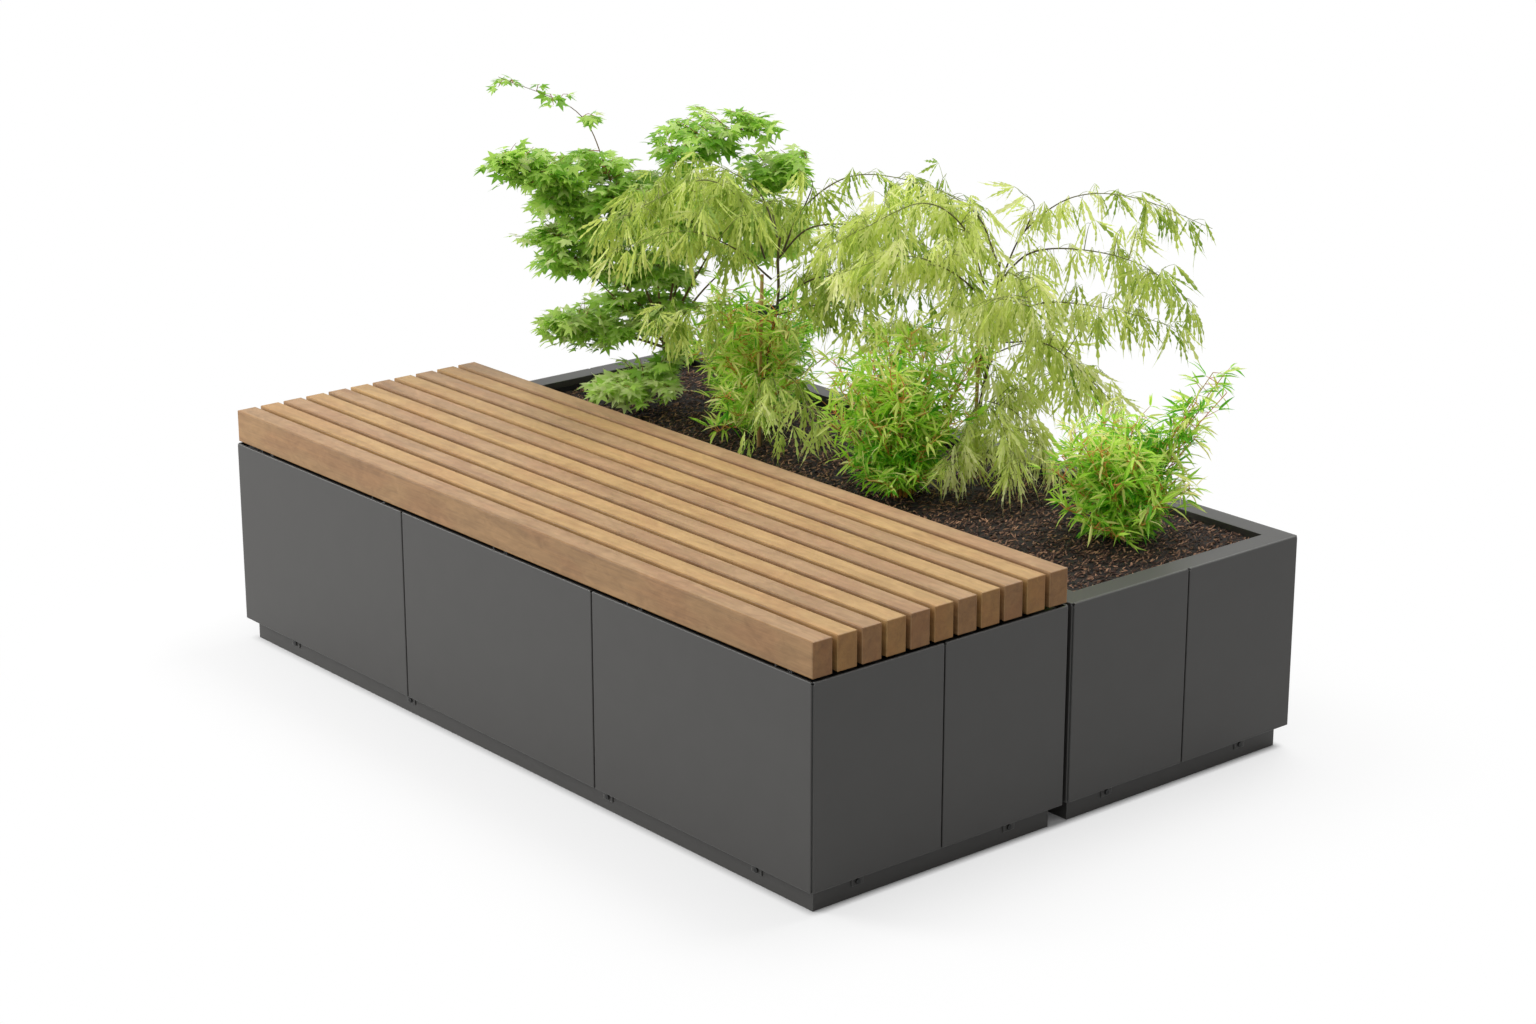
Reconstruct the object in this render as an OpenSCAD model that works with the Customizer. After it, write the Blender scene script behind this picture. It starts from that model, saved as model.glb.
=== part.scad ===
// Bench with planter: two panelled steel modules of one size, back to back.
// X runs along the length, the bench is on the -Y side and the planter on the +Y side.
// The origin is on the ground, at the centre of the whole footprint.

/* [Modules] */
// Length of both modules
length = 1650; // [1500:10:1900]
// Depth of one module from face to face
module_depth = 546; // [500:2:600]
// Gap between the two modules
module_gap = 8; // [6:1:20]
// Height of the steel bodies
body_h = 386; // [340:2:440]

/* [Plinth] */
// Height of the recessed plinth
plinth_h = 40; // [36:1:70]
// How far the plinth stands back from the panel faces
plinth_inset = 18; // [15:1:26]
// Sheet thickness of the plinth
plinth_t = 3; // [2:0.5:4]
// Width of the plinth's top and bottom flanges
plinth_flange = 40; // [38:1:43]
// Radius of an anchor hole in the bottom flange
anchor_r = 5.5; // [4:0.5:6]
// Distance of the anchor holes from the end faces
anchor_from_end = 125; // [120:5:250]
// Distance of the anchor holes from the long faces
anchor_inset = 48; // [47:0.5:49]
// Radius of the tool hole in the top flange above each anchor
tool_hole_r = 8.5; // [7:0.5:8.5]

/* [Levelling feet] */
// Distance of each foot from the faces of its module
foot_inset = 86; // [86:1:100]
// Radius of the foot's pad
pad_r = 20; // [15:1:22]
// Thickness of the foot's pad
pad_h = 8; // [5:1:12]
// Radius of the foot's stud
stud_r = 6; // [4:0.5:7]
// Running clearance round the stud
stud_clear = 0.1; // [0.05:0.05:0.2]
// How far a foot screws out of the plinth
foot_travel = 20; // [10:1:21]
// Radius of the nut welded under the gusset
weld_nut_r = 9.5; // [9:0.5:12]
// Height of the weld nut
weld_nut_h = 10; // [8:1:14]

/* [Frame] */
// Outer size of the square frame tube
tube = 25; // [22:1:26]
// Wall of the frame tube
tube_wall = 2; // [1.5:0.5:3]

/* [Panels] */
// Sheet thickness of the panels
panel_t = 2; // [1.5:0.5:2.5]
// Depth of the panels, from the face to the frame behind
panel_return = 13; // [12:0.5:14]
// Width of the dark seam between two panels
seam_gap = 3; // [2:0.5:5]
// How far the panels stop short of an upright corner
corner_reveal = 3; // [2:0.5:5]
// Width of the lip folded in at the top of a panel
lip_w = 4; // [3.5:0.5:5]
// Width of the notch at each top corner of a panel
notch_w = 1.5; // [1.5:0.5:3]
// Height of that notch
notch_h = 4; // [4:0.5:6]
// Rounding of the folded edges
fold_r = 1.5; // [0.5:0.25:1.5]
// Length of each leg of a corner profile
corner_leg = 22; // [18:1:24]
// Sheet thickness of the corner profiles
corner_t = 2; // [1:0.5:2]

/* [Panel clips] */
// Width of a clip
clip_w = 24; // [18:1:34]
// Thickness of a clip
clip_t = 2; // [1:0.5:3]
// Height of the clip's lower edge above the ground
clip_z = 19; // [14:1:22]
// How far the clip's upper leg stays behind the panel face
clip_back = 5; // [4:1:8]
// Distance of the outer clips from the end faces
clip_from_end = 151; // [120:1:200]
// Distance of the inner clips from the panel seams
clip_from_seam = 15; // [13:1:60]
// Distance of the end clips from the middle of the end
clip_from_middle = 164; // [80:1:180]
// Radius of a clip screw
clip_screw_r = 2.5; // [1.5:0.5:3]
// Radius of its button head
clip_head_r = 4.5; // [4:0.5:6]

/* [Seat] */
// Width of a slat
slat_w = 40; // [34:1:44]
// Height of a slat
slat_h = 60; // [45:1:80]
// Rounding of the slat edges
slat_r = 2.5; // [1:0.5:5]
// How far the slats stand back from the panel faces
seat_inset = 3; // [0:1:6]
// Shadow gap between the steel body and the slats
shadow_gap = 4; // [3:1:8]
// Width of a seat bearer
bearer_w = 40; // [38:1:60]
// Depth of a seat bearer between the frame tubes
bearer_h = 30; // [20:1:60]
// Sheet thickness of a seat bearer
bearer_t = 3; // [2:0.5:3]
// Distance of the outer bearers from the end faces
bearer_from_end = 85; // [70:5:200]
// How far a bearer's end stays inside the tube's outer face
bearer_end = 2; // [1:1:6]
// Radius of a slat screw
slat_screw_r = 3; // [2:0.5:4]
// How deep a slat screw goes into the slat
slat_screw_depth = 35; // [20:1:40]
// Radius of a slat screw's head
slat_head_r = 5.5; // [5:0.5:7]
// Thickness of a slat screw's head
slat_head_h = 3; // [2:0.5:4]
// How far the slat screws stand off the bearer's centre line, by turns on either side
screw_stagger = 9; // [7:0.5:10]
// Radius of a bearer bolt
bearer_bolt_r = 4; // [3:0.5:4.5]
// How far the bearer bolts stand off the centre line
bearer_bolt_offset = 8; // [7:0.5:8.5]

/* [Module links] */
// Radius of a link bolt
link_r = 5; // [3:0.5:5.5]
// Outer radius of the spacer sleeves on the link bolts
link_sleeve_r = 10; // [8:0.5:12]
// Distance of the link bolts from the end faces
link_from_end = 275; // [200:5:400]

/* [Planter] */
// Width of the rim, from the panel face inwards
rim_w = 44; // [44:1:60]
// Thickness of the rim
rim_t = 3; // [2:0.5:3]
// Depth of the lip turned down at the rim's inner edge
rim_lip = 10; // [6:1:14]
// Sheet thickness of the rim's lip
rim_lip_t = 2.9; // [1.5:0.1:2.9]
// Width of the weld line at each mitre of the rim, along its edge
rim_weld = 0.1; // [0.05:0.05:0.4]
// Wall of the liner
liner_t = 2.5; // [1.5:0.5:2.5]
// Thickness of the liner's hanging flange
liner_flange_t = 3; // [2:0.5:4]
// Radius of a drain hole in the liner
drain_r = 8; // [5:0.5:12]
// Width of a liner support bar
support_w = 40; // [30:1:60]
// Thickness of a liner support bar
support_t = 6; // [4:1:10]
// Distance of the outer support bars from the end faces
support_from_end = 165; // [120:5:250]
// Depth of the mulch surface below the top of the rim
mulch_below = 20; // [16:1:40]
// Thickness of the mulch
mulch_t = 26; // [20:1:60]

/* [Plants] */
// Turn of the plants about their stems
plant_turn = 50; // [0:5:90]
// Radius of the broad-leaved maple's trunk
maple_trunk_r = 9; // [6:1:14]
// Height of the broad-leaved maple's lowest fork above the mulch
maple_fork = 130; // [110:5:160]
// Radius of a weeping maple's trunk
lace_trunk_r = 8; // [6:1:12]
// Height of a weeping maple's lowest fork above the mulch
lace_fork = 110; // [90:5:140]
// Radius of one bamboo cane
cane_r = 3; // [2:0.5:5]
// Radius of the ring on which the canes of a clump stand
clump_r = 18; // [12:1:26]

/* [Hidden] */
clear = 0.3;
small_clear = 0.1;
over = 1;
round_fn = 48;
hex_fn = 6;

// Levels
frame_inset = panel_return;
frame_top = body_h - rim_t - liner_flange_t;
base_top = plinth_h + tube;
top_z = frame_top - tube;
seat_z = body_h + shadow_gap;
panel_h = body_h - plinth_h;

// Plan
half_l = length / 2;
long_count = 3;
long_pitch = length / long_count;
end_pitch = module_depth / 2;
bench_y = -module_gap / 2 - module_depth;
planter_y = module_gap / 2;
tube_mid = frame_inset + tube / 2;
inner_inset = frame_inset + tube;
return_clear = 0.5;
corner_trim = panel_return - corner_reveal + return_clear;

// Feet
gusset_land = 18;
gusset_size = foot_inset + gusset_land - plinth_inset;
stud_above = 2;

// Panel clips and their screws
clip_head_h = 2.5;
clip_screw_past = 7;
clip_screw_z = clip_z + clip_head_r + 2;

// Seat
slat_count = 11;
seat_depth = module_depth - 2 * seat_inset;
slat_pitch = (seat_depth - slat_w) / (slat_count - 1);
bearer_count = 5;
bearer_pitch = (length - 2 * bearer_from_end) / (bearer_count - 1);
bearer_leg_clear = 1;
bolt_head_r = 1.8 * bearer_bolt_r;
bolt_head_h = 1.3 * bearer_bolt_r;
bolt_nut_h = 6;

// Links
link_head_r = 1.8 * link_r;
link_head_h = 1.3 * link_r;
link_nut_r = 1.6 * link_r;
link_nut_h = 8;
link_past_nut = 3;

// Planter
liner_inset = inner_inset + clear;
liner_inner = liner_inset + liner_t;
support_count = 5;
support_pitch = (length - 2 * support_from_end) / (support_count - 1);
liner_z = base_top + support_t;
soil_z = liner_z + liner_t;
mulch_z = body_h - mulch_below - mulch_t;
mulch_top = body_h - mulch_below;
drain_count = 6;
drain_pitch = (length - 2 * support_from_end) / (drain_count - 2);
mulch_collar = 1;

// Plants: where each stem stands, from the centre of the planter
maple_at = [-590, 10];
lace_left_at = [-240, -35];
lace_right_at = [165, 140];
bamboo_left_at = [-370, 60];
bamboo_middle_at = [155, -40];
bamboo_right_at = [600, 70];
cane_count = 7;
stem_fn = 8;
leaf_fn = 10;
twig_r = 4;
tip_r = 3;
lowest_limb = 0.75;

// Leaf masses of the broad-leaved maple: centre above the mulch, then half sizes
MAPLE = [
    [[-265, -40, 635], [65, 50, 18]],
    [[-140, 10, 570], [75, 50, 22]],
    [[-250, -40, 485], [90, 85, 42]],
    [[-120, 30, 425], [120, 105, 62]],
    [[95, 10, 535], [120, 95, 58]],
    [[225, 40, 465], [80, 85, 48]],
    [[20, -20, 400], [130, 110, 75]],
    [[-180, -20, 320], [100, 90, 52]],
    [[200, 60, 340], [100, 85, 75]],
    [[-20, 30, 225], [90, 85, 68]],
    [[-150, -30, 165], [90, 75, 48]],
    [[-60, -80, 48], [95, 65, 20]],
    [[60, 150, 340], [110, 85, 85]],
];

// Upper leaf masses of a weeping maple
LACE_CROWN = [
    [[-120, -20, 447], [165, 130, 82]],
    [[250, -20, 335], [135, 85, 72]],
    [[120, 0, 285], [80, 85, 68]],
];

// The fringe of leaves that hangs down in front of a weeping maple
LACE_FRINGE = [
    [[35, -160, 50], [90, 110, 22]],
];

// The arch of the left weeping maple, and the mass at its back
LACE_BACK = [
    [[235, 40, 485], [150, 85, 40]],
    [[0, 145, 380], [105, 75, 70]],
];

// The arch of the right one, its mass in front, and the low ones that only it has room for
LACE_SKIRT = [
    [[250, -10, 490], [160, 80, 40]],
    [[45, -125, 335], [110, 80, 78]],
    [[150, 40, 150], [120, 90, 68]],
    [[-150, 30, 270], [95, 60, 32]],
    [[10, 10, 180], [52, 55, 85]],
];

// Spread and height of each bamboo clump
BAMBOO_LEFT = [270, 270];
BAMBOO_MIDDLE = [270, 290];
BAMBOO_RIGHT = [260, 240];

// Leaf masses of a bamboo clump, as shares of its spread w and its height h
function bamboo_masses(w, h) = [
    [[0, 0, 0.45 * h], [0.50 * w, 0.42 * w, 0.33 * h]],
    [[-0.12 * w, 0, 0.76 * h], [0.34 * w, 0.30 * w, 0.24 * h]],
    [[0.32 * w, 0.05 * w, 0.58 * h], [0.20 * w, 0.20 * w, 0.22 * h]],
    [[-0.05 * w, -0.30 * w, 0.26 * h], [0.34 * w, 0.26 * w, 0.12 * h]],
];

// The tall sprig of the right clump
SPRIG = [[[165, 15, 215], [42, 36, 80]]];

LEFT_LACE = concat(LACE_CROWN, LACE_FRINGE, LACE_BACK);
RIGHT_LACE = concat(LACE_CROWN, LACE_FRINGE, LACE_SKIRT);

// Places. A module's own frame has its front face at y = 0 and x centred.

module in_bench() {
    translate([0, bench_y, 0]) children();
}

module in_planter() {
    translate([0, planter_y, 0]) children();
}

module in_both() {
    in_bench() children();
    in_planter() children();
}

// Draws the children at all four corners, with x and y running inwards from each
module at_corners() {
    for (mx = [0, 1], my = [0, 1]) {
        mirror([mx, 0, 0])
            translate([-half_l, module_depth / 2, 0])
                mirror([0, my, 0])
                    translate([0, -module_depth / 2, 0])
                        children();
    }
}

module to_rear() {
    translate([0, module_depth, 0]) rotate([0, 0, 180]) children();
}

module to_right_end() {
    translate([half_l, 0, 0]) rotate([0, 0, 90]) children();
}

module to_left_end() {
    translate([-half_l, module_depth, 0]) rotate([0, 0, -90]) children();
}

// A block that stands back from all four faces of a module by the same inset
module inset_block(inset, z, h) {
    translate([-half_l + inset, inset, z])
        cube([length - 2 * inset, module_depth - 2 * inset, h]);
}

module ring(outer_inset, inner, z, h) {
    difference() {
        inset_block(outer_inset, z, h);
        inset_block(inner, z - over, h + 2 * over);
    }
}

// Plinth: a channel ring with anchor holes below and gussets with weld nuts above

module plinth() {
    gusset_z = plinth_h - plinth_t;
    difference() {
        union() {
            ring(plinth_inset, plinth_inset + plinth_t, 0, plinth_h);
            ring(plinth_inset, plinth_inset + plinth_flange, 0, plinth_t);
            ring(plinth_inset, plinth_inset + plinth_flange, gusset_z, plinth_t);
            at_corners()
                translate([plinth_inset, plinth_inset, gusset_z])
                    cube([gusset_size, gusset_size, plinth_t]);
            at_corners()
                translate([foot_inset, foot_inset, gusset_z - weld_nut_h])
                    cylinder(r = weld_nut_r, h = weld_nut_h + plinth_t, $fn = round_fn);
        }
        at_corners()
            translate([foot_inset, foot_inset, gusset_z - weld_nut_h - over])
                cylinder(r = stud_r + stud_clear, h = weld_nut_h + plinth_t + 2 * over, $fn = round_fn);
        at_corners()
            translate([anchor_from_end, anchor_inset, -over])
                cylinder(r = anchor_r, h = plinth_t + 2 * over, $fn = round_fn);
        at_corners()
            translate([anchor_from_end, anchor_inset, gusset_z - over])
                cylinder(r = tool_hole_r, h = plinth_t + 2 * over, $fn = round_fn);
        children();
    }
}

module bench_plinth() {
    color("#3a3b3a")
        in_bench()
            plinth() clip_places(false) clip_screw_hole();
}

module planter_plinth() {
    color("#3a3b3a")
        in_planter()
            plinth() clip_places(true) clip_screw_hole();
}

// A levelling foot: pad and stud in one, shown screwed fully in
module foot(right, rear) {
    x = (right ? 1 : -1) * (half_l - foot_inset);
    y = rear ? module_depth - foot_inset : foot_inset;
    color("#8b8d8e")
        translate([x, y, 0]) {
            cylinder(r = pad_r, h = pad_h, $fn = round_fn);
            cylinder(r = stud_r, h = plinth_h + foot_travel + stud_above, $fn = round_fn);
        }
}

// Frame of square tube: rings below and above, posts between them

module tube_ring(z) {
    difference() {
        ring(frame_inset, inner_inset, z, tube);
        ring(frame_inset + tube_wall, inner_inset - tube_wall, z + tube_wall, tube - 2 * tube_wall);
        children();
    }
}

module post() {
    difference() {
        cube([tube, tube, top_z - base_top]);
        translate([tube_wall, tube_wall, -over])
            cube([tube - 2 * tube_wall, tube - 2 * tube_wall, top_z - base_top + 2 * over]);
    }
}

module posts() {
    at_corners()
        translate([frame_inset, frame_inset, base_top]) post();
    for (x = [-long_pitch / 2, long_pitch / 2], y = [frame_inset, module_depth - inner_inset])
        translate([x - tube / 2, y, base_top]) post();
    for (x = [-half_l + frame_inset, half_l - inner_inset])
        translate([x, end_pitch - tube / 2, base_top]) post();
}

module bench_base_frame() {
    color("#4a4b4b")
        difference() {
            in_bench() tube_ring(plinth_h);
            link_holes();
        }
}

module bench_top_frame() {
    color("#4a4b4b")
        difference() {
            in_bench() tube_ring(top_z) bearer_bolt_places() bearer_bolt_hole();
            link_holes();
        }
}

module planter_base_frame() {
    color("#4a4b4b")
        difference() {
            in_planter() tube_ring(plinth_h);
            link_holes();
        }
}

module planter_top_frame() {
    color("#4a4b4b")
        difference() {
            in_planter() tube_ring(top_z);
            link_holes();
        }
}

module frame_posts() {
    color("#4a4b4b") in_both() posts();
}

// Panels: folded sheet trays whose returns reach back to the frame

// A square whose corner at the origin's x side and the top is rounded
module top_rounded(depth, height) {
    translate([fold_r, 0]) square([depth - fold_r, height]);
    square([depth, height - fold_r]);
    translate([fold_r, height - fold_r]) circle(r = fold_r, $fn = round_fn);
}

// A square whose two corners on the x axis are rounded
module front_rounded(w, depth) {
    translate([fold_r, 0]) square([w - 2 * fold_r, depth]);
    translate([0, fold_r]) square([w, depth - fold_r]);
    for (x = [fold_r, w - fold_r])
        translate([x, fold_r]) circle(r = fold_r, $fn = round_fn);
}

// One panel, with its face on y = 0. A side has a return at a seam and none at a
// corner. The bottom return stays clear of each end by its own trim.
module panel(w, left_return, right_return, left_trim, right_trim) {
    left_in = left_return ? panel_t : -over;
    right_in = right_return ? panel_t : -over;
    back = panel_return + over;
    difference() {
        intersection() {
            linear_extrude(panel_h) front_rounded(w, panel_return);
            rotate([90, 0, 90]) linear_extrude(w) top_rounded(panel_return, panel_h);
        }
        translate([left_in, panel_t, panel_t])
            cube([w - left_in - right_in, back, panel_h - 2 * panel_t]);
        translate([-over, lip_w, frame_top - plinth_h])
            cube([w + 2 * over, back, panel_h]);
        translate([-over, panel_t, -over])
            cube([left_trim + over, back, panel_t + 2 * over]);
        translate([w - right_trim, panel_t, -over])
            cube([right_trim + over, back, panel_t + 2 * over]);
        for (x = [-over, w - notch_w])
            translate([x, -over, panel_h - notch_h])
                cube([notch_w + over, lip_w + 2 * over, notch_h + over]);
    }
}

// Panel i of the three on a long side, counted from the left as one faces it
module long_panel(i) {
    last = long_count - 1;
    x0 = i == 0 ? corner_reveal : i * long_pitch + seam_gap / 2;
    x1 = i == last ? length - corner_reveal : (i + 1) * long_pitch - seam_gap / 2;
    translate([x0 - half_l, 0, plinth_h])
        panel(x1 - x0, i > 0, i < last, 0, 0);
}

// The left (i = 0) or right (i = 1) panel of an end, as one faces it
module end_panel(i) {
    x0 = i == 0 ? corner_reveal : end_pitch + seam_gap / 2;
    x1 = i == 0 ? end_pitch - seam_gap / 2 : module_depth - corner_reveal;
    translate([x0, 0, plinth_h])
        panel(x1 - x0, i == 1, i == 0, i == 0 ? corner_trim : 0, i == 1 ? corner_trim : 0);
}

module bench_front_panel(i) {
    color("#5f6060") in_bench() long_panel(i);
}

module bench_left_end_panel(i) {
    color("#4c4c4a") in_bench() to_left_end() end_panel(i);
}

module bench_right_end_panel(i) {
    color("#4c4c4a") in_bench() to_right_end() end_panel(i);
}

module planter_rear_panel(i) {
    color("#5f6060") in_planter() to_rear() long_panel(i);
}

module planter_left_end_panel(i) {
    color("#4c4c4a") in_planter() to_left_end() end_panel(i);
}

module planter_right_end_panel(i) {
    color("#4c4c4a") in_planter() to_right_end() end_panel(i);
}

// The panels that face each other across the gap between the modules
module inner_panels() {
    color("#565757")
        difference() {
            for (i = [0 : long_count - 1]) {
                in_bench() to_rear() long_panel(i);
                in_planter() long_panel(i);
            }
            link_holes();
        }
}

// An angle behind each open corner joint, with a web back to the corner post
module corner_profile() {
    linear_extrude(body_h - notch_h - plinth_h - panel_t) {
        square([corner_leg, corner_t]);
        square([corner_t, corner_leg]);
        translate([corner_leg - corner_t, 0]) square([corner_t, panel_return - panel_t]);
        translate([0, corner_leg - corner_t]) square([panel_return - panel_t, corner_t]);
    }
}

module corner_profiles() {
    color("#3c3d3b")
        in_both()
            at_corners()
                translate([panel_t, panel_t, plinth_h + panel_t])
                    corner_profile();
}

// Clips that hold the lower edges of the outer panels down on the plinth

module clips_on_long_side() {
    outer = half_l - clip_from_end;
    inner = long_pitch / 2 + clip_from_seam;
    for (x = [-outer, -inner, inner, outer])
        translate([x, 0, 0]) children();
}

module clips_on_end() {
    for (x = [end_pitch - clip_from_middle, end_pitch + clip_from_middle])
        translate([x, 0, 0]) children();
}

// The clip places of one module: its outer long side and both ends
module clip_places(rear) {
    if (rear) {
        to_rear() clips_on_long_side() children();
    } else {
        clips_on_long_side() children();
    }
    to_left_end() clips_on_end() children();
    to_right_end() clips_on_end() children();
}

module clip_screw_hole() {
    translate([0, plinth_inset - clip_t - over, clip_screw_z])
        rotate([-90, 0, 0])
            cylinder(r = clip_screw_r + small_clear, h = clip_t + plinth_t + 2 * over, $fn = round_fn);
}

module clip() {
    difference() {
        union() {
            translate([-clip_w / 2, plinth_inset - clip_t, clip_z])
                cube([clip_w, clip_t, plinth_h - clip_z]);
            translate([-clip_w / 2, clip_back, plinth_h - clip_t])
                cube([clip_w, plinth_inset - clip_back, clip_t]);
        }
        clip_screw_hole();
    }
}

module clip_screw() {
    translate([0, plinth_inset - clip_t, clip_screw_z])
        rotate([-90, 0, 0]) {
            translate([0, 0, -clip_head_h])
                cylinder(r = clip_head_r, h = clip_head_h, $fn = round_fn);
            cylinder(r = clip_screw_r, h = clip_t + plinth_t + clip_screw_past, $fn = round_fn);
        }
}

module panel_clips() {
    color("#2b2c2c") {
        in_bench() clip_places(false) clip();
        in_planter() clip_places(true) clip();
    }
}

module clip_screws() {
    color("#9a9c9d") {
        in_bench() clip_places(false) clip_screw();
        in_planter() clip_places(true) clip_screw();
    }
}

// Seat: slats screwed from below to channel bearers on the bench's top frame

module rounded_square(w, h, r) {
    translate([r, 0]) square([w - 2 * r, h]);
    translate([0, r]) square([w, h - 2 * r]);
    for (x = [r, w - r], y = [r, h - r])
        translate([x, y]) circle(r = r, $fn = round_fn);
}

// A bar with every edge rounded, from the three outlines it has along the axes
module eased_bar(l, w, h, r) {
    intersection() {
        rotate([90, 0, 90]) linear_extrude(l) rounded_square(w, h, r);
        linear_extrude(h) rounded_square(l, w, r);
        translate([0, w, 0]) rotate([90, 0, 0]) linear_extrude(w) rounded_square(l, h, r);
    }
}

function bearer_x(i) = -half_l + bearer_from_end + i * bearer_pitch;
function slat_y(i) = seat_inset + i * slat_pitch;
function slat_screw_x(i) = i % 2 == 0 ? -screw_stagger : screw_stagger;

module slat_screw_places(i) {
    for (k = [0 : bearer_count - 1])
        translate([bearer_x(k) + slat_screw_x(i), slat_y(i) + slat_w / 2, seat_z]) children();
}

module seat_slat(i) {
    color(i % 2 == 0 ? "#c79f78" : "#d2ae7e")
        in_bench()
            difference() {
                translate([-half_l + seat_inset, slat_y(i), seat_z])
                    eased_bar(length - 2 * seat_inset, slat_w, slat_h, slat_r);
                slat_screw_places(i)
                    translate([0, 0, -over])
                        cylinder(
                            r = slat_screw_r + small_clear,
                            h = slat_screw_depth + over + small_clear,
                            $fn = round_fn
                        );
            }
}

module slat_screws() {
    color("#a5a7a8")
        in_bench()
            for (i = [0 : slat_count - 1])
                slat_screw_places(i) {
                    translate([0, 0, -bearer_t - slat_head_h])
                        cylinder(r = slat_head_r, h = slat_head_h, $fn = round_fn);
                    translate([0, 0, -bearer_t])
                        cylinder(r = slat_screw_r, h = bearer_t + slat_screw_depth, $fn = round_fn);
                }
}

// One bearer: a channel open below, cropped at its ends to sit on the tubes
module bearer() {
    end_y = frame_inset + bearer_end;
    leg_y = inner_inset + bearer_leg_clear;
    inner_w = bearer_w - 2 * bearer_t;
    difference() {
        translate([-bearer_w / 2, end_y, seat_z - bearer_h])
            cube([bearer_w, module_depth - 2 * end_y, bearer_h]);
        translate([-inner_w / 2, end_y - over, seat_z - bearer_h - over])
            cube([inner_w, module_depth, bearer_h - bearer_t + over]);
        for (y = [end_y - over, module_depth - leg_y])
            translate([-bearer_w / 2 - over, y, seat_z - bearer_h - over])
                cube([bearer_w + 2 * over, leg_y - end_y + over, bearer_h - (seat_z - frame_top) + over]);
    }
}

module seat_bearers() {
    color("#77797a")
        in_bench()
            difference() {
                for (k = [0 : bearer_count - 1])
                    translate([bearer_x(k), 0, 0]) bearer();
                for (i = [0 : slat_count - 1])
                    slat_screw_places(i)
                        translate([0, 0, -bearer_t - over])
                            cylinder(r = slat_screw_r + clear, h = bearer_t + 2 * over, $fn = round_fn);
            }
}

// The bolts that hold the bearers down, up through the top frame
module bearer_bolt_places() {
    for (k = [0 : bearer_count - 1], y = [tube_mid, module_depth - tube_mid])
        translate([bearer_x(k) + bearer_bolt_offset, y, top_z]) children();
}

module bearer_bolt_hole() {
    translate([0, 0, -over])
        cylinder(r = bearer_bolt_r + clear, h = tube + 2 * over, $fn = round_fn);
}

module bearer_bolt() {
    reach = seat_z - bearer_t - top_z;
    translate([0, 0, -bolt_head_h])
        cylinder(r = bolt_head_r, h = bolt_head_h, $fn = hex_fn);
    cylinder(r = bearer_bolt_r, h = reach, $fn = round_fn);
    translate([0, 0, reach - bolt_nut_h])
        difference() {
            cylinder(r = bolt_head_r, h = bolt_nut_h, $fn = hex_fn);
            translate([0, 0, -over])
                cylinder(r = bearer_bolt_r + small_clear, h = bolt_nut_h + 2 * over, $fn = round_fn);
        }
}

module bearer_bolts() {
    color("#9a9c9d") in_bench() bearer_bolt_places() bearer_bolt();
}

// Links: bolts through both frames and the inner panels, with sleeves as spacers

module link_places() {
    for (x = [-half_l + link_from_end, half_l - link_from_end])
        for (z = [plinth_h + tube / 2, top_z + tube / 2])
            translate([x, 0, z]) rotate([-90, 0, 0]) children();
}

// From inside the bench's tube to just inside the planter's tube
module link_holes() {
    start = -module_gap / 2 - inner_inset - over;
    stop = module_gap / 2 + frame_inset + tube_wall + over;
    link_places()
        translate([0, 0, start])
            cylinder(r = link_r + clear, h = stop - start, $fn = round_fn);
}

module tube_sleeve(start, stop, outer_r, inner_r) {
    translate([0, 0, start])
        difference() {
            cylinder(r = outer_r, h = stop - start, $fn = round_fn);
            translate([0, 0, -over])
                cylinder(r = inner_r, h = stop - start + 2 * over, $fn = round_fn);
        }
}

module link_bolts() {
    head = -module_gap / 2 - inner_inset;
    nut = module_gap / 2 + frame_inset + tube_wall;
    color("#9a9c9d")
        link_places() {
            translate([0, 0, head - link_head_h])
                cylinder(r = link_head_r, h = link_head_h, $fn = hex_fn);
            translate([0, 0, head])
                cylinder(r = link_r, h = nut + link_nut_h + link_past_nut - head, $fn = round_fn);
            tube_sleeve(nut, nut + link_nut_h, link_nut_r, link_r + small_clear);
        }
}

module link_spacers() {
    face = module_gap / 2;
    color("#6d6f70")
        link_places() {
            tube_sleeve(-face, face, link_sleeve_r, link_r + clear);
            tube_sleeve(face + panel_t, face + frame_inset, link_sleeve_r, link_r + clear);
            tube_sleeve(-face - frame_inset, -face - panel_t, link_sleeve_r, link_r + clear);
        }
}

// Planter: support bars, liner, rim, growing medium and mulch

module liner_supports() {
    color("#77797a")
        in_planter()
            for (k = [0 : support_count - 1])
                translate([-half_l + support_from_end + k * support_pitch - support_w / 2, frame_inset, base_top])
                    cube([support_w, module_depth - 2 * frame_inset, support_t]);
}

module planter_liner() {
    color("#1c1d1d")
        in_planter()
            difference() {
                union() {
                    inset_block(liner_inset, liner_z, frame_top + liner_flange_t - liner_z);
                    inset_block(frame_inset, frame_top, liner_flange_t);
                }
                inset_block(liner_inner, soil_z, body_h);
                for (k = [0 : drain_count - 2])
                    translate([-half_l + support_from_end + (k - 0.5) * drain_pitch, end_pitch, liner_z - over])
                        cylinder(r = drain_r, h = liner_t + 2 * over, $fn = round_fn);
            }
}

// A mitred strip along a face, from its outer to its inner inset
module mitred_strip(from, to, outer, inner, h) {
    weld = rim_weld / 2;
    translate([0, 0, body_h - h])
        linear_extrude(h)
            polygon([
                [from + outer + weld, outer],
                [to - outer - weld, outer],
                [to - inner - weld, inner],
                [from + inner + weld, inner],
            ]);
}

module rim_bar(from, to) {
    mitred_strip(from, to, lip_w + clear, rim_w, rim_t);
    mitred_strip(from, to, rim_w - rim_lip_t, rim_w, rim_t + rim_lip);
}

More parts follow.
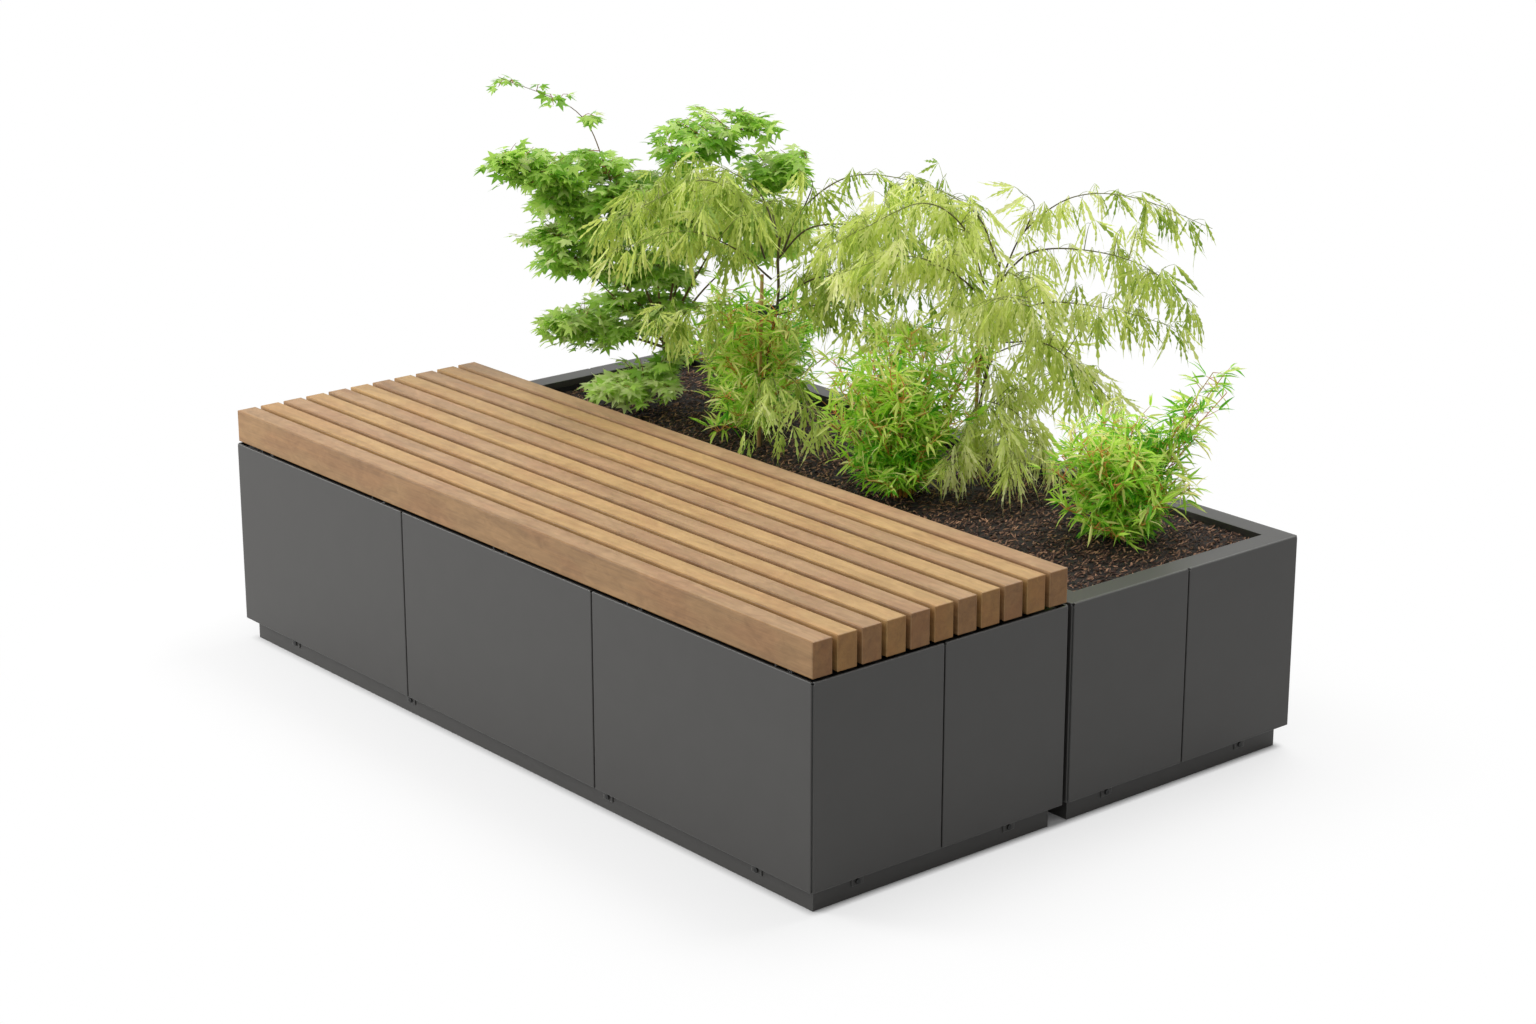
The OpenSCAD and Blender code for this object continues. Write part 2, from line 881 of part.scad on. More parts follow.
// The rim: four bars with their lips turned down, welded at the mitres
module planter_rim() {
    color("#636565")
        in_planter() {
            rim_bar(-half_l, half_l);
            to_rear() rim_bar(-half_l, half_l);
            to_left_end() rim_bar(0, module_depth);
            to_right_end() rim_bar(0, module_depth);
        }
}

module growing_medium() {
    color("#4a3527")
        in_planter()
            inset_block(liner_inner, soil_z, mulch_z - soil_z);
}

module bark_mulch() {
    color("#3b2a22")
        difference() {
            in_planter() inset_block(liner_inner, mulch_z, mulch_t);
            at_plant(maple_at) mulch_hole(maple_trunk_r);
            for (at = [lace_left_at, lace_right_at])
                at_plant(at) mulch_hole(lace_trunk_r);
            for (at = [bamboo_left_at, bamboo_middle_at, bamboo_right_at])
                at_plant(at) mulch_hole(clump_r + cane_r);
        }
}

// Plants: stems on the growing medium, limbs, and closed masses for the leaves

// A place on top of the mulch, given from the centre of the planter
module at_plant(at) {
    translate([at[0], planter_y + module_depth / 2 + at[1], mulch_top])
        rotate([0, 0, plant_turn])
            children();
}

module mulch_hole(r) {
    translate([0, 0, -mulch_t - over])
        cylinder(r = r + mulch_collar, h = mulch_t + 2 * over, $fn = round_fn);
}

module stem(r, top) {
    translate([0, 0, -mulch_t])
        cylinder(r = r, h = mulch_t + top, $fn = stem_fn);
}

module limb(from, to, r0, r1) {
    hull() {
        translate(from) sphere(r = r0, $fn = hex_fn);
        translate(to) sphere(r = r1, $fn = hex_fn);
    }
}

module leaf_mass(mass) {
    translate(mass[0]) scale(mass[1]) sphere(r = 1, $fn = leaf_fn);
}

// A small tree: one trunk to the fork, then a limb to each leaf mass
module tree(masses, trunk_r, fork) {
    stem(trunk_r, fork);
    for (m = masses) {
        limb([0, 0, min(fork, lowest_limb * m[0][2])], m[0], twig_r, tip_r);
        leaf_mass(m);
    }
}

// A clump: canes on a ring that lean out, and leaf masses round them
module clump(masses, w, h) {
    for (k = [0 : cane_count - 1]) {
        a = k * 360 / cane_count;
        foot = [clump_r * cos(a), clump_r * sin(a), 0];
        translate(foot) stem(cane_r, cane_r);
        limb(foot, [0.3 * w * cos(a), 0.3 * w * sin(a), 0.55 * h], cane_r, cane_r);
    }
    for (m = masses) {
        limb([0, 0, 0.4 * h], m[0], cane_r, cane_r);
        leaf_mass(m);
    }
}

module broadleaf_maple() {
    color("#5d8f2c") at_plant(maple_at) tree(MAPLE, maple_trunk_r, maple_fork);
}

module weeping_maple(at, masses) {
    color("#93ab45") at_plant(at) tree(masses, lace_trunk_r, lace_fork);
}

module dwarf_bamboo(at, size, extra) {
    masses = concat(bamboo_masses(size[0], size[1]), extra);
    color("#4f9a26") at_plant(at) clump(masses, size[0], size[1]);
}

bench_plinth();
bench_base_frame();
bench_top_frame();
bench_front_panel(0);  // bench_front_panel_left
bench_front_panel(1);  // bench_front_panel_middle
bench_front_panel(2);  // bench_front_panel_right
bench_left_end_panel(1);  // bench_left_end_panel_front
bench_left_end_panel(0);  // bench_left_end_panel_rear
bench_right_end_panel(0);  // bench_right_end_panel_front
bench_right_end_panel(1);  // bench_right_end_panel_rear
seat_bearers();
seat_slat(0);  // seat_slat_01
seat_slat(1);  // seat_slat_02
seat_slat(2);  // seat_slat_03
seat_slat(3);  // seat_slat_04
seat_slat(4);  // seat_slat_05
seat_slat(5);  // seat_slat_06
seat_slat(6);  // seat_slat_07
seat_slat(7);  // seat_slat_08
seat_slat(8);  // seat_slat_09
seat_slat(9);  // seat_slat_10
seat_slat(10);  // seat_slat_11
slat_screws();
bearer_bolts();
planter_plinth();
planter_base_frame();
planter_top_frame();
planter_rear_panel(2);  // planter_rear_panel_left
planter_rear_panel(1);  // planter_rear_panel_middle
planter_rear_panel(0);  // planter_rear_panel_right
planter_left_end_panel(1);  // planter_left_end_panel_front
planter_left_end_panel(0);  // planter_left_end_panel_rear
planter_right_end_panel(0);  // planter_right_end_panel_front
planter_right_end_panel(1);  // planter_right_end_panel_rear
liner_supports();
planter_liner();
planter_rim();
growing_medium();
bark_mulch();
broadleaf_maple();
weeping_maple(lace_left_at, LEFT_LACE);  // weeping_maple_left
weeping_maple(lace_right_at, RIGHT_LACE);  // weeping_maple_right
dwarf_bamboo(bamboo_left_at, BAMBOO_LEFT, []);  // dwarf_bamboo_left
dwarf_bamboo(bamboo_middle_at, BAMBOO_MIDDLE, []);  // dwarf_bamboo_middle
dwarf_bamboo(bamboo_right_at, BAMBOO_RIGHT, SPRIG);  // dwarf_bamboo_right
frame_posts();
inner_panels();
corner_profiles();
panel_clips();
clip_screws();
link_bolts();
link_spacers();
in_bench() foot(false, false);  // bench_foot_front_left
in_bench() foot(true, false);  // bench_foot_front_right
in_bench() foot(false, true);  // bench_foot_rear_left
in_bench() foot(true, true);  // bench_foot_rear_right
in_planter() foot(false, false);  // planter_foot_front_left
in_planter() foot(true, false);  // planter_foot_front_right
in_planter() foot(false, true);  // planter_foot_rear_left
in_planter() foot(true, true);  // planter_foot_rear_right
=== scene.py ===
import math
import random

import bpy
from mathutils import Matrix, Vector, noise


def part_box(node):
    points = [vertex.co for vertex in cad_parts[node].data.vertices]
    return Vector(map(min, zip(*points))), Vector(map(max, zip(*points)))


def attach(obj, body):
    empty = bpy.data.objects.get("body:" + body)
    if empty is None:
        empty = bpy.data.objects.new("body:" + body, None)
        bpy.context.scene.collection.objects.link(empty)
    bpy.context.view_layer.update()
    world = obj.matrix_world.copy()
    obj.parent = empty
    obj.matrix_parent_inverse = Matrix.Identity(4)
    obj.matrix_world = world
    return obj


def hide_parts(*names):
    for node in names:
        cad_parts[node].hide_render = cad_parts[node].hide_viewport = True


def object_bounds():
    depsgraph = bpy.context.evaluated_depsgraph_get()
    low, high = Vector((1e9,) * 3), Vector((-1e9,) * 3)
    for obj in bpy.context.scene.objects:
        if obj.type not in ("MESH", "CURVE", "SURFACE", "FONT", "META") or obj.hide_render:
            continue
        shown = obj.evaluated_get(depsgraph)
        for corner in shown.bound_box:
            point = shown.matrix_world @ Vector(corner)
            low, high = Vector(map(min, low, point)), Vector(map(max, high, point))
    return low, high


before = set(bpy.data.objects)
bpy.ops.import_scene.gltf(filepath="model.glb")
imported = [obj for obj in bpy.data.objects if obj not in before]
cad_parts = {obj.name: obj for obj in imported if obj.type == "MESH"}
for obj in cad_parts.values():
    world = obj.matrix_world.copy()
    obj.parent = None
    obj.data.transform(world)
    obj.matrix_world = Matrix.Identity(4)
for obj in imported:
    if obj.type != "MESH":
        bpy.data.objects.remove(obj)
cad_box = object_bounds()

# The view: a long lens at the height of a standing person, looking down on the
# front right corner of the bench.
view_turn, view_drop = 49.894, 17.849
camera = bpy.data.objects.new("camera", bpy.data.cameras.new("camera"))
camera.data.lens = 75.13
camera.data.sensor_width = 36
camera.data.clip_end = 200
camera.location = (4.22226, -3.49856, 2.10489)
camera.rotation_euler = (math.radians(90 - view_drop), 0, math.radians(view_turn))
bpy.context.scene.collection.objects.link(camera)
bpy.context.scene.camera = camera
bpy.context.scene.view_settings.view_transform = "Standard"


# The studio: a white room that is brighter to the front left, one large soft lamp
# overhead and one to the front left, and a pale floor that fades to white paper.
def linear(colour):
    """The linear colour that a shader takes, from sRGB hex."""
    parts = [int(colour[k : k + 2], 16) / 255 for k in (1, 3, 5)]
    return (*(c / 12.92 if c <= 0.04045 else ((c + 0.055) / 1.055) ** 2.4 for c in parts), 1)


def add(tree, kind, inputs=(), **settings):
    """Adds a node: a socket takes a value, or the output of another node."""
    node = tree.nodes.new("ShaderNode" + kind)
    for name, value in settings.items():
        setattr(node, name, value)
    for name, value in dict(inputs).items():
        if isinstance(value, bpy.types.NodeSocket):
            tree.links.new(value, node.inputs[name])
        else:
            node.inputs[name].default_value = value
    return node


def seen_directly(tree):
    """1 where the camera sees a thing itself, in a reflection or through glass."""
    path = add(tree, "LightPath").outputs
    seen = path["Is Camera Ray"]
    for ray in ("Is Glossy Ray", "Is Transmission Ray"):
        seen = add(tree, "Math", {0: seen, 1: path[ray]}, operation="MAXIMUM").outputs[0]
    return seen


room_bright, room_dim = 0.98, 0.30
front_left = (-0.8, -0.6, 0)
world = bpy.data.worlds.new("white_room")
bpy.context.scene.world = world
world.use_nodes = True
tree = world.node_tree
tree.nodes.clear()
way = add(tree, "TexCoord").outputs["Generated"]
side = add(tree, "VectorMath", {0: way, 1: front_left}, operation="DOT_PRODUCT").outputs["Value"]
glow = add(
    tree,
    "MapRange",
    {"Value": side, "From Min": -1, "From Max": 1, "To Min": room_dim, "To Max": room_bright},
)
strength = add(tree, "MapRange", {"Value": seen_directly(tree), "To Min": glow.outputs[0], "To Max": 1})
sky = add(tree, "Background", {"Color": (1, 1, 1, 1), "Strength": strength.outputs[0]})
add(tree, "OutputWorld", {"Surface": sky.outputs[0]})

# The floor lies a hair below the plinths, which stand 18 mm back from the panels. To
# the camera it is shaded card at the plinths, 0.64 white paper just past the panels
# and all white from shadow_reach on. Light bounces off it as off grey card.
floor_half, floor_drop = 30, 0.0005
plinth_back, shadow_reach = 0.018, 0.5
white_past_panels = 0.64
floor_mesh = bpy.data.meshes.new("studio_floor")
floor_corners = [(-1, -1), (1, -1), (1, 1), (-1, 1)]
floor_points = [(x * floor_half, y * floor_half, -floor_drop) for x, y in floor_corners]
floor_mesh.from_pydata(floor_points, [], [(0, 1, 2, 3)])
floor = bpy.data.objects.new("studio_floor", floor_mesh)
bpy.context.scene.collection.objects.link(floor)
paper = bpy.data.materials.new("white_paper_floor")
paper.use_nodes = True
tree = paper.node_tree
tree.nodes.clear()
seen = seen_directly(tree)
edge_x, edge_y = cad_box[1].x - plinth_back, -cad_box[0].y - plinth_back
outside = add(tree, "VectorMath", {0: add(tree, "TexCoord").outputs["Object"]}, operation="ABSOLUTE")
outside = add(tree, "VectorMath", {0: outside.outputs[0], 1: (edge_x, edge_y, 0)}, operation="SUBTRACT")
outside = add(tree, "VectorMath", {0: outside.outputs[0], 1: (0, 0, 0)}, operation="MAXIMUM")
outside = add(tree, "VectorMath", {0: outside.outputs[0]}, operation="LENGTH").outputs["Value"]
camera_ray = add(tree, "LightPath").outputs["Is Camera Ray"]
near = add(tree, "Math", {0: camera_ray, 1: white_past_panels}, operation="MULTIPLY").outputs[0]
fade = add(
    tree,
    "MapRange",
    {"Value": outside, "From Min": 0, "From Max": shadow_reach, "To Min": near, "To Max": 1},
    interpolation_type="SMOOTHERSTEP",
)
beyond = add(tree, "MapRange", {"Value": outside, "From Min": 0, "From Max": plinth_back})
share = add(tree, "Math", {0: beyond.outputs[0], 1: fade.outputs[0]}, operation="MULTIPLY")
share = add(tree, "Math", {0: seen, 1: share.outputs[0]}, operation="MULTIPLY")
pale = add(tree, "MixRGB", {"Fac": seen, "Color1": linear("#a4a4a4"), "Color2": linear("#f2f2f2")})
matt = add(tree, "BsdfDiffuse", {"Color": pale.outputs[0]})
white = add(tree, "Emission", {"Color": (1, 1, 1, 1), "Strength": 1})
blend = add(tree, "MixShader", {0: share.outputs[0], 1: matt.outputs[0], 2: white.outputs[0]})
add(tree, "OutputMaterial", {"Surface": blend.outputs[0]})
floor_mesh.materials.append(paper)


def soft_lamp(name, place, aim, across, watts):
    """A round soft box of this width, in metres, turned to what it lights."""
    lamp = bpy.data.objects.new(name, bpy.data.lights.new(name, "AREA"))
    lamp.data.shape = "DISK"
    lamp.data.size = across
    lamp.data.energy = watts
    lamp.location = place
    lamp.rotation_euler = (Vector(aim) - Vector(place)).to_track_quat("-Z", "Y").to_euler()
    bpy.context.scene.collection.objects.link(lamp)


soft_lamp("top_softbox", place=(0.3, 2.0, 4.4), aim=(0, 0.1, 0.4), across=3.0, watts=120)
soft_lamp("front_softbox", place=(-3.8, -3.5, 2.3), aim=(-0.3, -0.3, 0.35), across=2.4, watts=185)


# Panels, rim and plinth: 2 and 3 mm sheet steel, folded and powder coated in a
# fine matt anthracite. The coat gives an even dark grey with a broad dull gloss.
def start_finish(name, constants):
    """A material with one principled shader, whose constant values are given."""
    material = bpy.data.materials.new(name)
    material.use_nodes = True
    tree = material.node_tree
    tree.nodes.clear()
    shader = add(tree, "BsdfPrincipled", constants)
    add(tree, "OutputMaterial", {"Surface": shader.outputs[0]})
    return material, tree, shader


def powder_coat(name, colour, deep, painted_fold_highlight):
    """Polyester powder: orange peel about 1.5 mm across, faint cloudiness 60 mm wide.

    On the folds, which are 2 mm round, the colour is mixed towards pale grey as a painted highlight.
    """
    peel_mm, cloud_mm, fold_mm = 1.5, 60, 2.0
    fold_starts, fold_full = 0.995, 0.88
    material, tree, shader = start_finish(name, {"Metallic": 0, "Roughness": 0.48, "IOR": 1.46})
    place = add(tree, "TexCoord").outputs["Object"]
    clouded = {"Vector": place, "Scale": 1000 / cloud_mm, "Detail": 4, "Roughness": 0.6}
    cloud = add(tree, "TexNoise", clouded).outputs[0]
    coat = add(tree, "MixRGB", {"Fac": cloud, "Color1": linear(deep), "Color2": linear(colour)})
    fold = add(tree, "Bevel", {"Radius": fold_mm / 1000}, samples=6)
    flat = add(tree, "NewGeometry").outputs["True Normal"]
    level = add(tree, "VectorMath", {0: fold.outputs[0], 1: flat}, operation="DOT_PRODUCT")
    bent = {"Value": level.outputs["Value"], "From Min": fold_starts, "From Max": fold_full}
    fold_highlight_share = add(tree, "MapRange", {**bent, "To Max": painted_fold_highlight}).outputs[0]
    # Painted highlight: the colour on the folds is mixed towards pale grey.
    coat = add(tree, "MixRGB", {"Fac": fold_highlight_share, "Color1": coat.outputs[0], "Color2": linear("#a9a9a7")})
    tree.links.new(coat.outputs[0], shader.inputs["Base Color"])
    peel = add(tree, "TexNoise", {"Vector": place, "Scale": 1000 / peel_mm, "Detail": 2})
    bump = add(
        tree,
        "Bump",
        {"Height": peel.outputs[0], "Strength": 0.12, "Distance": 0.0002, "Normal": fold.outputs[0]},
    )
    tree.links.new(bump.outputs[0], shader.inputs["Normal"])
    return material


def dress(material, *names):
    """Gives CAD nodes a new material and leaves their shape as it is."""
    for name in names:
        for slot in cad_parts[name].material_slots:
            slot.material = material


halves = ("bench", "planter")
left_right = ("left", "right")
long_sides = ("bench_front", "planter_rear")
end_panels = [f"{m}_{x}_end_panel_{y}" for m in halves for x in left_right for y in ("front", "rear")]
long_panels = [f"{m}_panel_{x}" for m in long_sides for x in ("left", "middle", "right")]
plinths = [f"{m}_plinth" for m in halves]
anthracite = powder_coat("anthracite_powder_coat", "#464543", "#41403e", painted_fold_highlight=0.4)
dress(anthracite, *end_panels, *long_panels, *plinths, "inner_panels", "planter_rim", "panel_clips")

# Corner profiles, clip screws and tube frames: the same powder on rolled steel,
# darker, in the open joints and under the panels.
frames = [f"{m}_{part}_frame" for m in halves for part in ("base", "top")]
black_coat = powder_coat("black_powder_coat", "#1c1d1c", "#171817", painted_fold_highlight=0.05)
dress(black_coat, *frames, "frame_posts", "corner_profiles", "clip_screws")


# Screws, bolts, feet, bearers and support bars: zinc on steel. Plated parts are
# bright and smooth, hot dipped ones dull with large pale flakes.
def zinc(name, colour, pale, flake_mm, rough):
    """Zinc whose flakes are this wide and run from the colour to the pale one."""
    material, tree, shader = start_finish(name, {"Metallic": 1, "Roughness": rough})
    place = add(tree, "TexCoord").outputs["Object"]
    flakes = add(tree, "TexVoronoi", {"Vector": place, "Scale": 1000 / flake_mm}).outputs["Distance"]
    skin = add(tree, "MixRGB", {"Fac": flakes, "Color1": linear(colour), "Color2": linear(pale)})
    tree.links.new(skin.outputs[0], shader.inputs["Base Color"])
    return material


feet = [f"{m}_foot_{y}_{x}" for m in halves for y in ("front", "rear") for x in left_right]
plated = zinc("zinc_plated_steel", "#b9bbbd", "#c9cbcc", flake_mm=3, rough=0.32)
dipped = zinc("hot_dipped_steel", "#8f9294", "#a6a9ab", flake_mm=12, rough=0.5)
dress(plated, *feet, "slat_screws", "bearer_bolts", "link_bolts")
dress(dipped, "seat_bearers", "liner_supports", "link_spacers")


# Seat slats: 40 by 60 mm bars of planed and oiled hardwood, edges eased to 2.5 mm.
# Golden and pinkish bars alternate; the grain runs along them.
def oiled_hardwood(name, pale, dark, number):
    """Grain in streaks 4 mm wide, clouds 28, silky and rosy patches, and fine pores.

    Sawn ends take up more oil, so they are darker in colour. Sides and the rounded edges are darkened as
    painted shade, the edges most.
    """
    material, tree, shader = start_finish(name, {"Metallic": 0, "IOR": 1.45})
    coordinates = add(tree, "TexCoord").outputs
    shift = (3.7 * number, 1.9 * number, 0.83 * number)
    grain = {}
    for kind, width_mm, times_longer, settings in (
        ("streak", 4.0, 60, {"Detail": 3, "Roughness": 0.6, "Distortion": 0.4}),
        ("cloud", 28.0, 9, {"Detail": 3, "Distortion": 0.8}),
        ("patch", 20.0, 2.2, {"Detail": 3, "Roughness": 0.55, "Distortion": 1.2}),
        ("rosy", 45.0, 3, {"Detail": 2}),
        ("pore", 1.2, 25, {"Detail": 2}),
    ):
        squeeze = {"Vector": coordinates["Object"], "Location": shift, "Scale": (1 / times_longer, 1, 1)}
        along = add(tree, "Mapping", squeeze).outputs[0]
        sized = {"Vector": along, "Scale": 1000 / width_mm, **settings}
        grain[kind] = add(tree, "TexNoise", sized).outputs[0]
    figure = 0
    for kind, weight in (("streak", 0.3), ("cloud", 0.3), ("patch", 0.4)):
        weighed = {0: grain[kind], 1: weight, 2: figure}
        figure = add(tree, "Math", weighed, operation="MULTIPLY_ADD").outputs[0]
    figure = add(tree, "MapRange", {"Value": figure, "From Min": 0.36, "From Max": 0.64}).outputs[0]
    wood = add(tree, "MixRGB", {"Fac": figure, "Color1": linear(dark), "Color2": linear(pale)})
    facing = add(tree, "VectorMath", {0: coordinates["Normal"]}, operation="ABSOLUTE")
    ends, sides, top = add(tree, "SeparateXYZ", {0: facing.outputs[0]}).outputs
    painted_arris_shade = add(tree, "Math", {0: sides, 1: top}, operation="MULTIPLY").outputs[0]
    # Rosy patches and pores are the wood's own, and the end tint is oil in the end grain; the side and
    # edge tints are painted shade.
    for value, starts, full, most, colour in (
        (grain["rosy"], 0.46, 0.62, 1, (0.95, 0.89, 0.89)),
        (grain["pore"], 0.45, 0.3, 0.12, (0, 0, 0)),
        (sides, 0.8, 0.98, 1, (0.83, 0.79, 0.68)),
        (painted_arris_shade, 0.1, 0.4, 0.9, (0.72, 0.62, 0.36)),
        (ends, 0.6, 0.9, 1, (0.68, 0.56, 0.38)),
    ):
        run = {"Value": value, "From Min": starts, "From Max": full, "To Max": most}
        grain_and_shade_tint = add(tree, "MapRange", run).outputs[0]
        grain_and_shade_mix = {"Fac": grain_and_shade_tint, "Color1": wood.outputs[0], "Color2": (*colour, 1)}
        wood = add(tree, "MixRGB", grain_and_shade_mix, blend_type="MULTIPLY")
    tree.links.new(wood.outputs[0], shader.inputs["Base Color"])
    dull = {"Value": grain["streak"], "From Min": 0.3, "From Max": 0.7, "To Min": 0.5, "To Max": 0.64}
    tree.links.new(add(tree, "MapRange", dull).outputs[0], shader.inputs["Roughness"])
    bump = add(tree, "Bump", {"Height": grain["pore"], "Strength": 0.25, "Distance": 0.0003})
    tree.links.new(bump.outputs[0], shader.inputs["Normal"])
    return material


slat_count = 11
slat_tones = [("#b9956f", "#937453"), ("#c5a06d", "#a38155")]
for number in range(slat_count):
    pale, dark = slat_tones[number % 2]
    two_digits = f"{number + 1:02d}"
    dress(oiled_hardwood("oiled_hardwood_" + two_digits, pale, dark, number), "seat_slat_" + two_digits)

# Liner: a black plastic tray that hangs by its flange in the frame. It is moulded
# with a dull texture of 2 mm grit, which breaks up its gloss.
grit_mm = 2.0
moulded = {"Roughness": 0.55, "IOR": 1.5, "Base Color": linear("#151516")}
liner_black, tree, shader = start_finish("black_liner_plastic", moulded)
place = add(tree, "TexCoord").outputs["Object"]
grit = add(tree, "TexNoise", {"Vector": place, "Scale": 1000 / grit_mm, "Detail": 2})
bump = add(tree, "Bump", {"Height": grit.outputs[0], "Strength": 0.2, "Distance": 0.0003})
tree.links.new(bump.outputs[0], shader.inputs["Normal"])
dress(liner_black, "planter_liner")

# Growing medium: peat and compost in crumbs of about 6 mm, moist and dark. It fills
# the liner up to the bark and is hidden by it.
crumb_mm = 6.0
soil_brown, tree, shader = start_finish("moist_peat", {"Roughness": 0.9, "IOR": 1.4})
place = add(tree, "TexCoord").outputs["Object"]
crumbs = add(tree, "TexNoise", {"Vector": place, "Scale": 1000 / crumb_mm, "Detail": 5}).outputs[0]
peat = add(tree, "MixRGB", {"Fac": crumbs, "Color1": linear("#1d140e"), "Color2": linear("#3f2d20")})
tree.links.new(peat.outputs[0], shader.inputs["Base Color"])
dress(soil_brown, "growing_medium")


# Bark mulch: chipped pine bark, raked out below the rim. The bed is an uneven
# closed layer, and loose chips of 8 to 20 mm lie on it, most of them one way.
def new_piece(name, points, faces, finishes, skins=None, tones=None):
    """A mesh object; tones give each point a value that its finish can read."""
    mesh = bpy.data.meshes.new(name)
    mesh.from_pydata(points, [], faces)
    for finish in finishes:
        mesh.materials.append(finish)
    if skins:
        mesh.polygons.foreach_set("material_index", skins)
    if tones:
        mesh.attributes.new("tone", "FLOAT", "POINT").data.foreach_set("value", tones)
    mesh.validate()
    mesh.update()
    piece = bpy.data.objects.new(name, mesh)
    bpy.context.scene.collection.objects.link(piece)
    return piece


def toned_finish(name, colours, rough, ior=1.45):
    """A finish whose colour runs from the first to the last of three by tone."""
    material, tree, shader = start_finish(name, {"Roughness": rough, "IOR": ior})
    tone = add(tree, "Attribute", attribute_name="tone").outputs["Fac"]
    run = linear(colours[0])
    for starts, colour in ((0, colours[1]), (0.5, colours[2])):
        share = add(tree, "MapRange", {"Value": tone, "From Min": starts, "From Max": starts + 0.5})
        mixed = {"Fac": share.outputs[0], "Color1": run, "Color2": linear(colour)}
        run = add(tree, "MixRGB", mixed).outputs[0]
    tree.links.new(run, shader.inputs["Base Color"])
    return material


def heaped(x):
    """How much higher the bark is raked at x: it rises from near the middle rightwards."""
    most, starts, reach = 0.011, 0.1, 0.5
    return most * min(1, max(0, (x - starts) / reach)) ** 2


modules = "bench_and_planter"
bark_brown = toned_finish("dry_pine_bark", ("#0b0705", "#4a3328", "#ae8468"), rough=0.85)
bed_low, bed_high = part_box("bark_mulch")
bed_columns, bed_rows = 156, 46
# The bed takes the darkest bark colour, as painted shade in the gaps between the chips.
bed_sunk, bed_gap_shade_tone = 0.004, 0.04
points, faces = [], []
for row in range(bed_rows + 1):
    for column in range(bed_columns + 1):
        x = bed_low.x + (bed_high.x - bed_low.x) * column / bed_columns
        y = bed_low.y + (bed_high.y - bed_low.y) * row / bed_rows
        lump = 0.0022 * noise.noise((x * 60, y * 60, 0)) + 0.0016 * noise.noise((x * 140, y * 140, 5))
        points.append((x, y, bed_high.z - bed_sunk + heaped(x) + lump))
below = len(points)
points += [(x, y, bed_low.z) for x, y, z in points]
across = bed_columns + 1
for row in range(bed_rows):
    for column in range(bed_columns):
        a = row * across + column
        b = a + across
        faces += [(a, a + 1, b + 1, b), (a + below, b + below, b + 1 + below, a + 1 + below)]
border = [column for column in range(bed_columns)]
border += [row * across + bed_columns for row in range(bed_rows)]
border += [bed_rows * across + column for column in range(bed_columns, 0, -1)]
border += [row * across for row in range(bed_rows, 0, -1)]
faces += [(b, a, a + below, b + below) for a, b in zip(border, border[1:] + border[:1])]
bed = new_piece("bark_bed", points, faces, [bark_brown], tones=[bed_gap_shade_tone] * len(points))
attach(bed, modules)
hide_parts("bark_mulch")

# Loose chips: flat splinters with a five-sided outline that rises to a point on
# both faces. Most of them lie about 113 degrees from the bench's length.
chip_count = 18000
chips_lie = 1.97
chip_half_long, chip_half_wide, chip_half_thick = (0.004, 0.010), (0.0010, 0.0022), (0.0008, 0.0015)
chip_sunk = (0.001, 0.0045)
chip_sides = 5
chip_outline = [(-1, 0, 0), (-0.3, -1, 0), (0.9, -0.5, 0), (0.7, 0.8, 0), (-0.5, 0.8, 0)]
chip_form = chip_outline + [(0.1, 0, 1), (-0.1, 0, -1)]
chip_faces = [(k, (k + 1) % chip_sides, chip_sides) for k in range(chip_sides)]
chip_faces += [((k + 1) % chip_sides, k, chip_sides + 1) for k in range(chip_sides)]
dice = random.Random(11)
points, faces, tones = [], [], []
for _ in range(chip_count):
    half_long = dice.uniform(*chip_half_long)
    half_wide = dice.uniform(*chip_half_wide)
    half_thick = dice.uniform(*chip_half_thick)
    lay = (
        Matrix.Rotation(dice.gauss(chips_lie, 0.45), 3, "Z")
        @ Matrix.Rotation(dice.gauss(0, 0.22), 3, "Y")
        @ Matrix.Rotation(dice.gauss(0, 0.35), 3, "X")
    )
    x = dice.uniform(bed_low.x + half_long, bed_high.x - half_long)
    y = dice.uniform(bed_low.y + half_long, bed_high.y - half_long)
    place = Vector((x, y, bed_high.z + heaped(x) - dice.uniform(*chip_sunk)))
    tone = min(1, max(0, dice.gauss(0.45, 0.28)))
    start = len(points)
    for a, b, c in chip_form:
        points.append(place + lay @ Vector((a * half_long, b * half_wide, c * half_thick)))
    faces += [tuple(start + k for k in face) for face in chip_faces]
    tones += [tone] * len(chip_form)
chips = new_piece("bark_chips", points, faces, [bark_brown], tones=tones)
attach(chips, modules)


# Broad-leaved maple: one thin trunk rooted in the soil, limbs in tiers, and
# five-lobed leaves of 28 to 48 mm with their stalks, nearly level on reddish twigs.
def metres(*triple):
    """A point or a step that is given in millimetres."""
    return Vector(triple) / 1000


def curve_through(corners, step):
    """Points about one step apart on a smooth curve through the corners."""
    ends = [corners[0] * 2 - corners[1], *corners, corners[-1] * 2 - corners[-2]]
    path = []
    for a, b, c, d in zip(ends, ends[1:], ends[2:], ends[3:]):
        count = max(1, round((c - b).length / step))
        for k in range(count):
            t = k / count
            bend = (2 * a - 5 * b + 4 * c - d) * t * t
            twist = (3 * b - a - 3 * c + d) * t**3
            path.append(0.5 * (2 * b + (c - a) * t + bend + twist))
    return [*path, corners[-1].copy()]


def spread_about(dice, direction, amount):
    """A direction of length 1 that strays from the given one."""
    return (direction + Vector(dice.gauss(0, amount) for _ in range(3))).normalized()


def spot_in(dice, mass, inner):
    """A point of an egg-shaped leaf mass, from the share inner of its radius outwards."""
    way = spread_about(dice, Vector((0, 0, 0)), 1)
    reach = dice.uniform(inner**3, 1) ** (1 / 3)
    return metres(*(mass[k] + mass[3 + k] * reach * way[k] for k in range(3)))


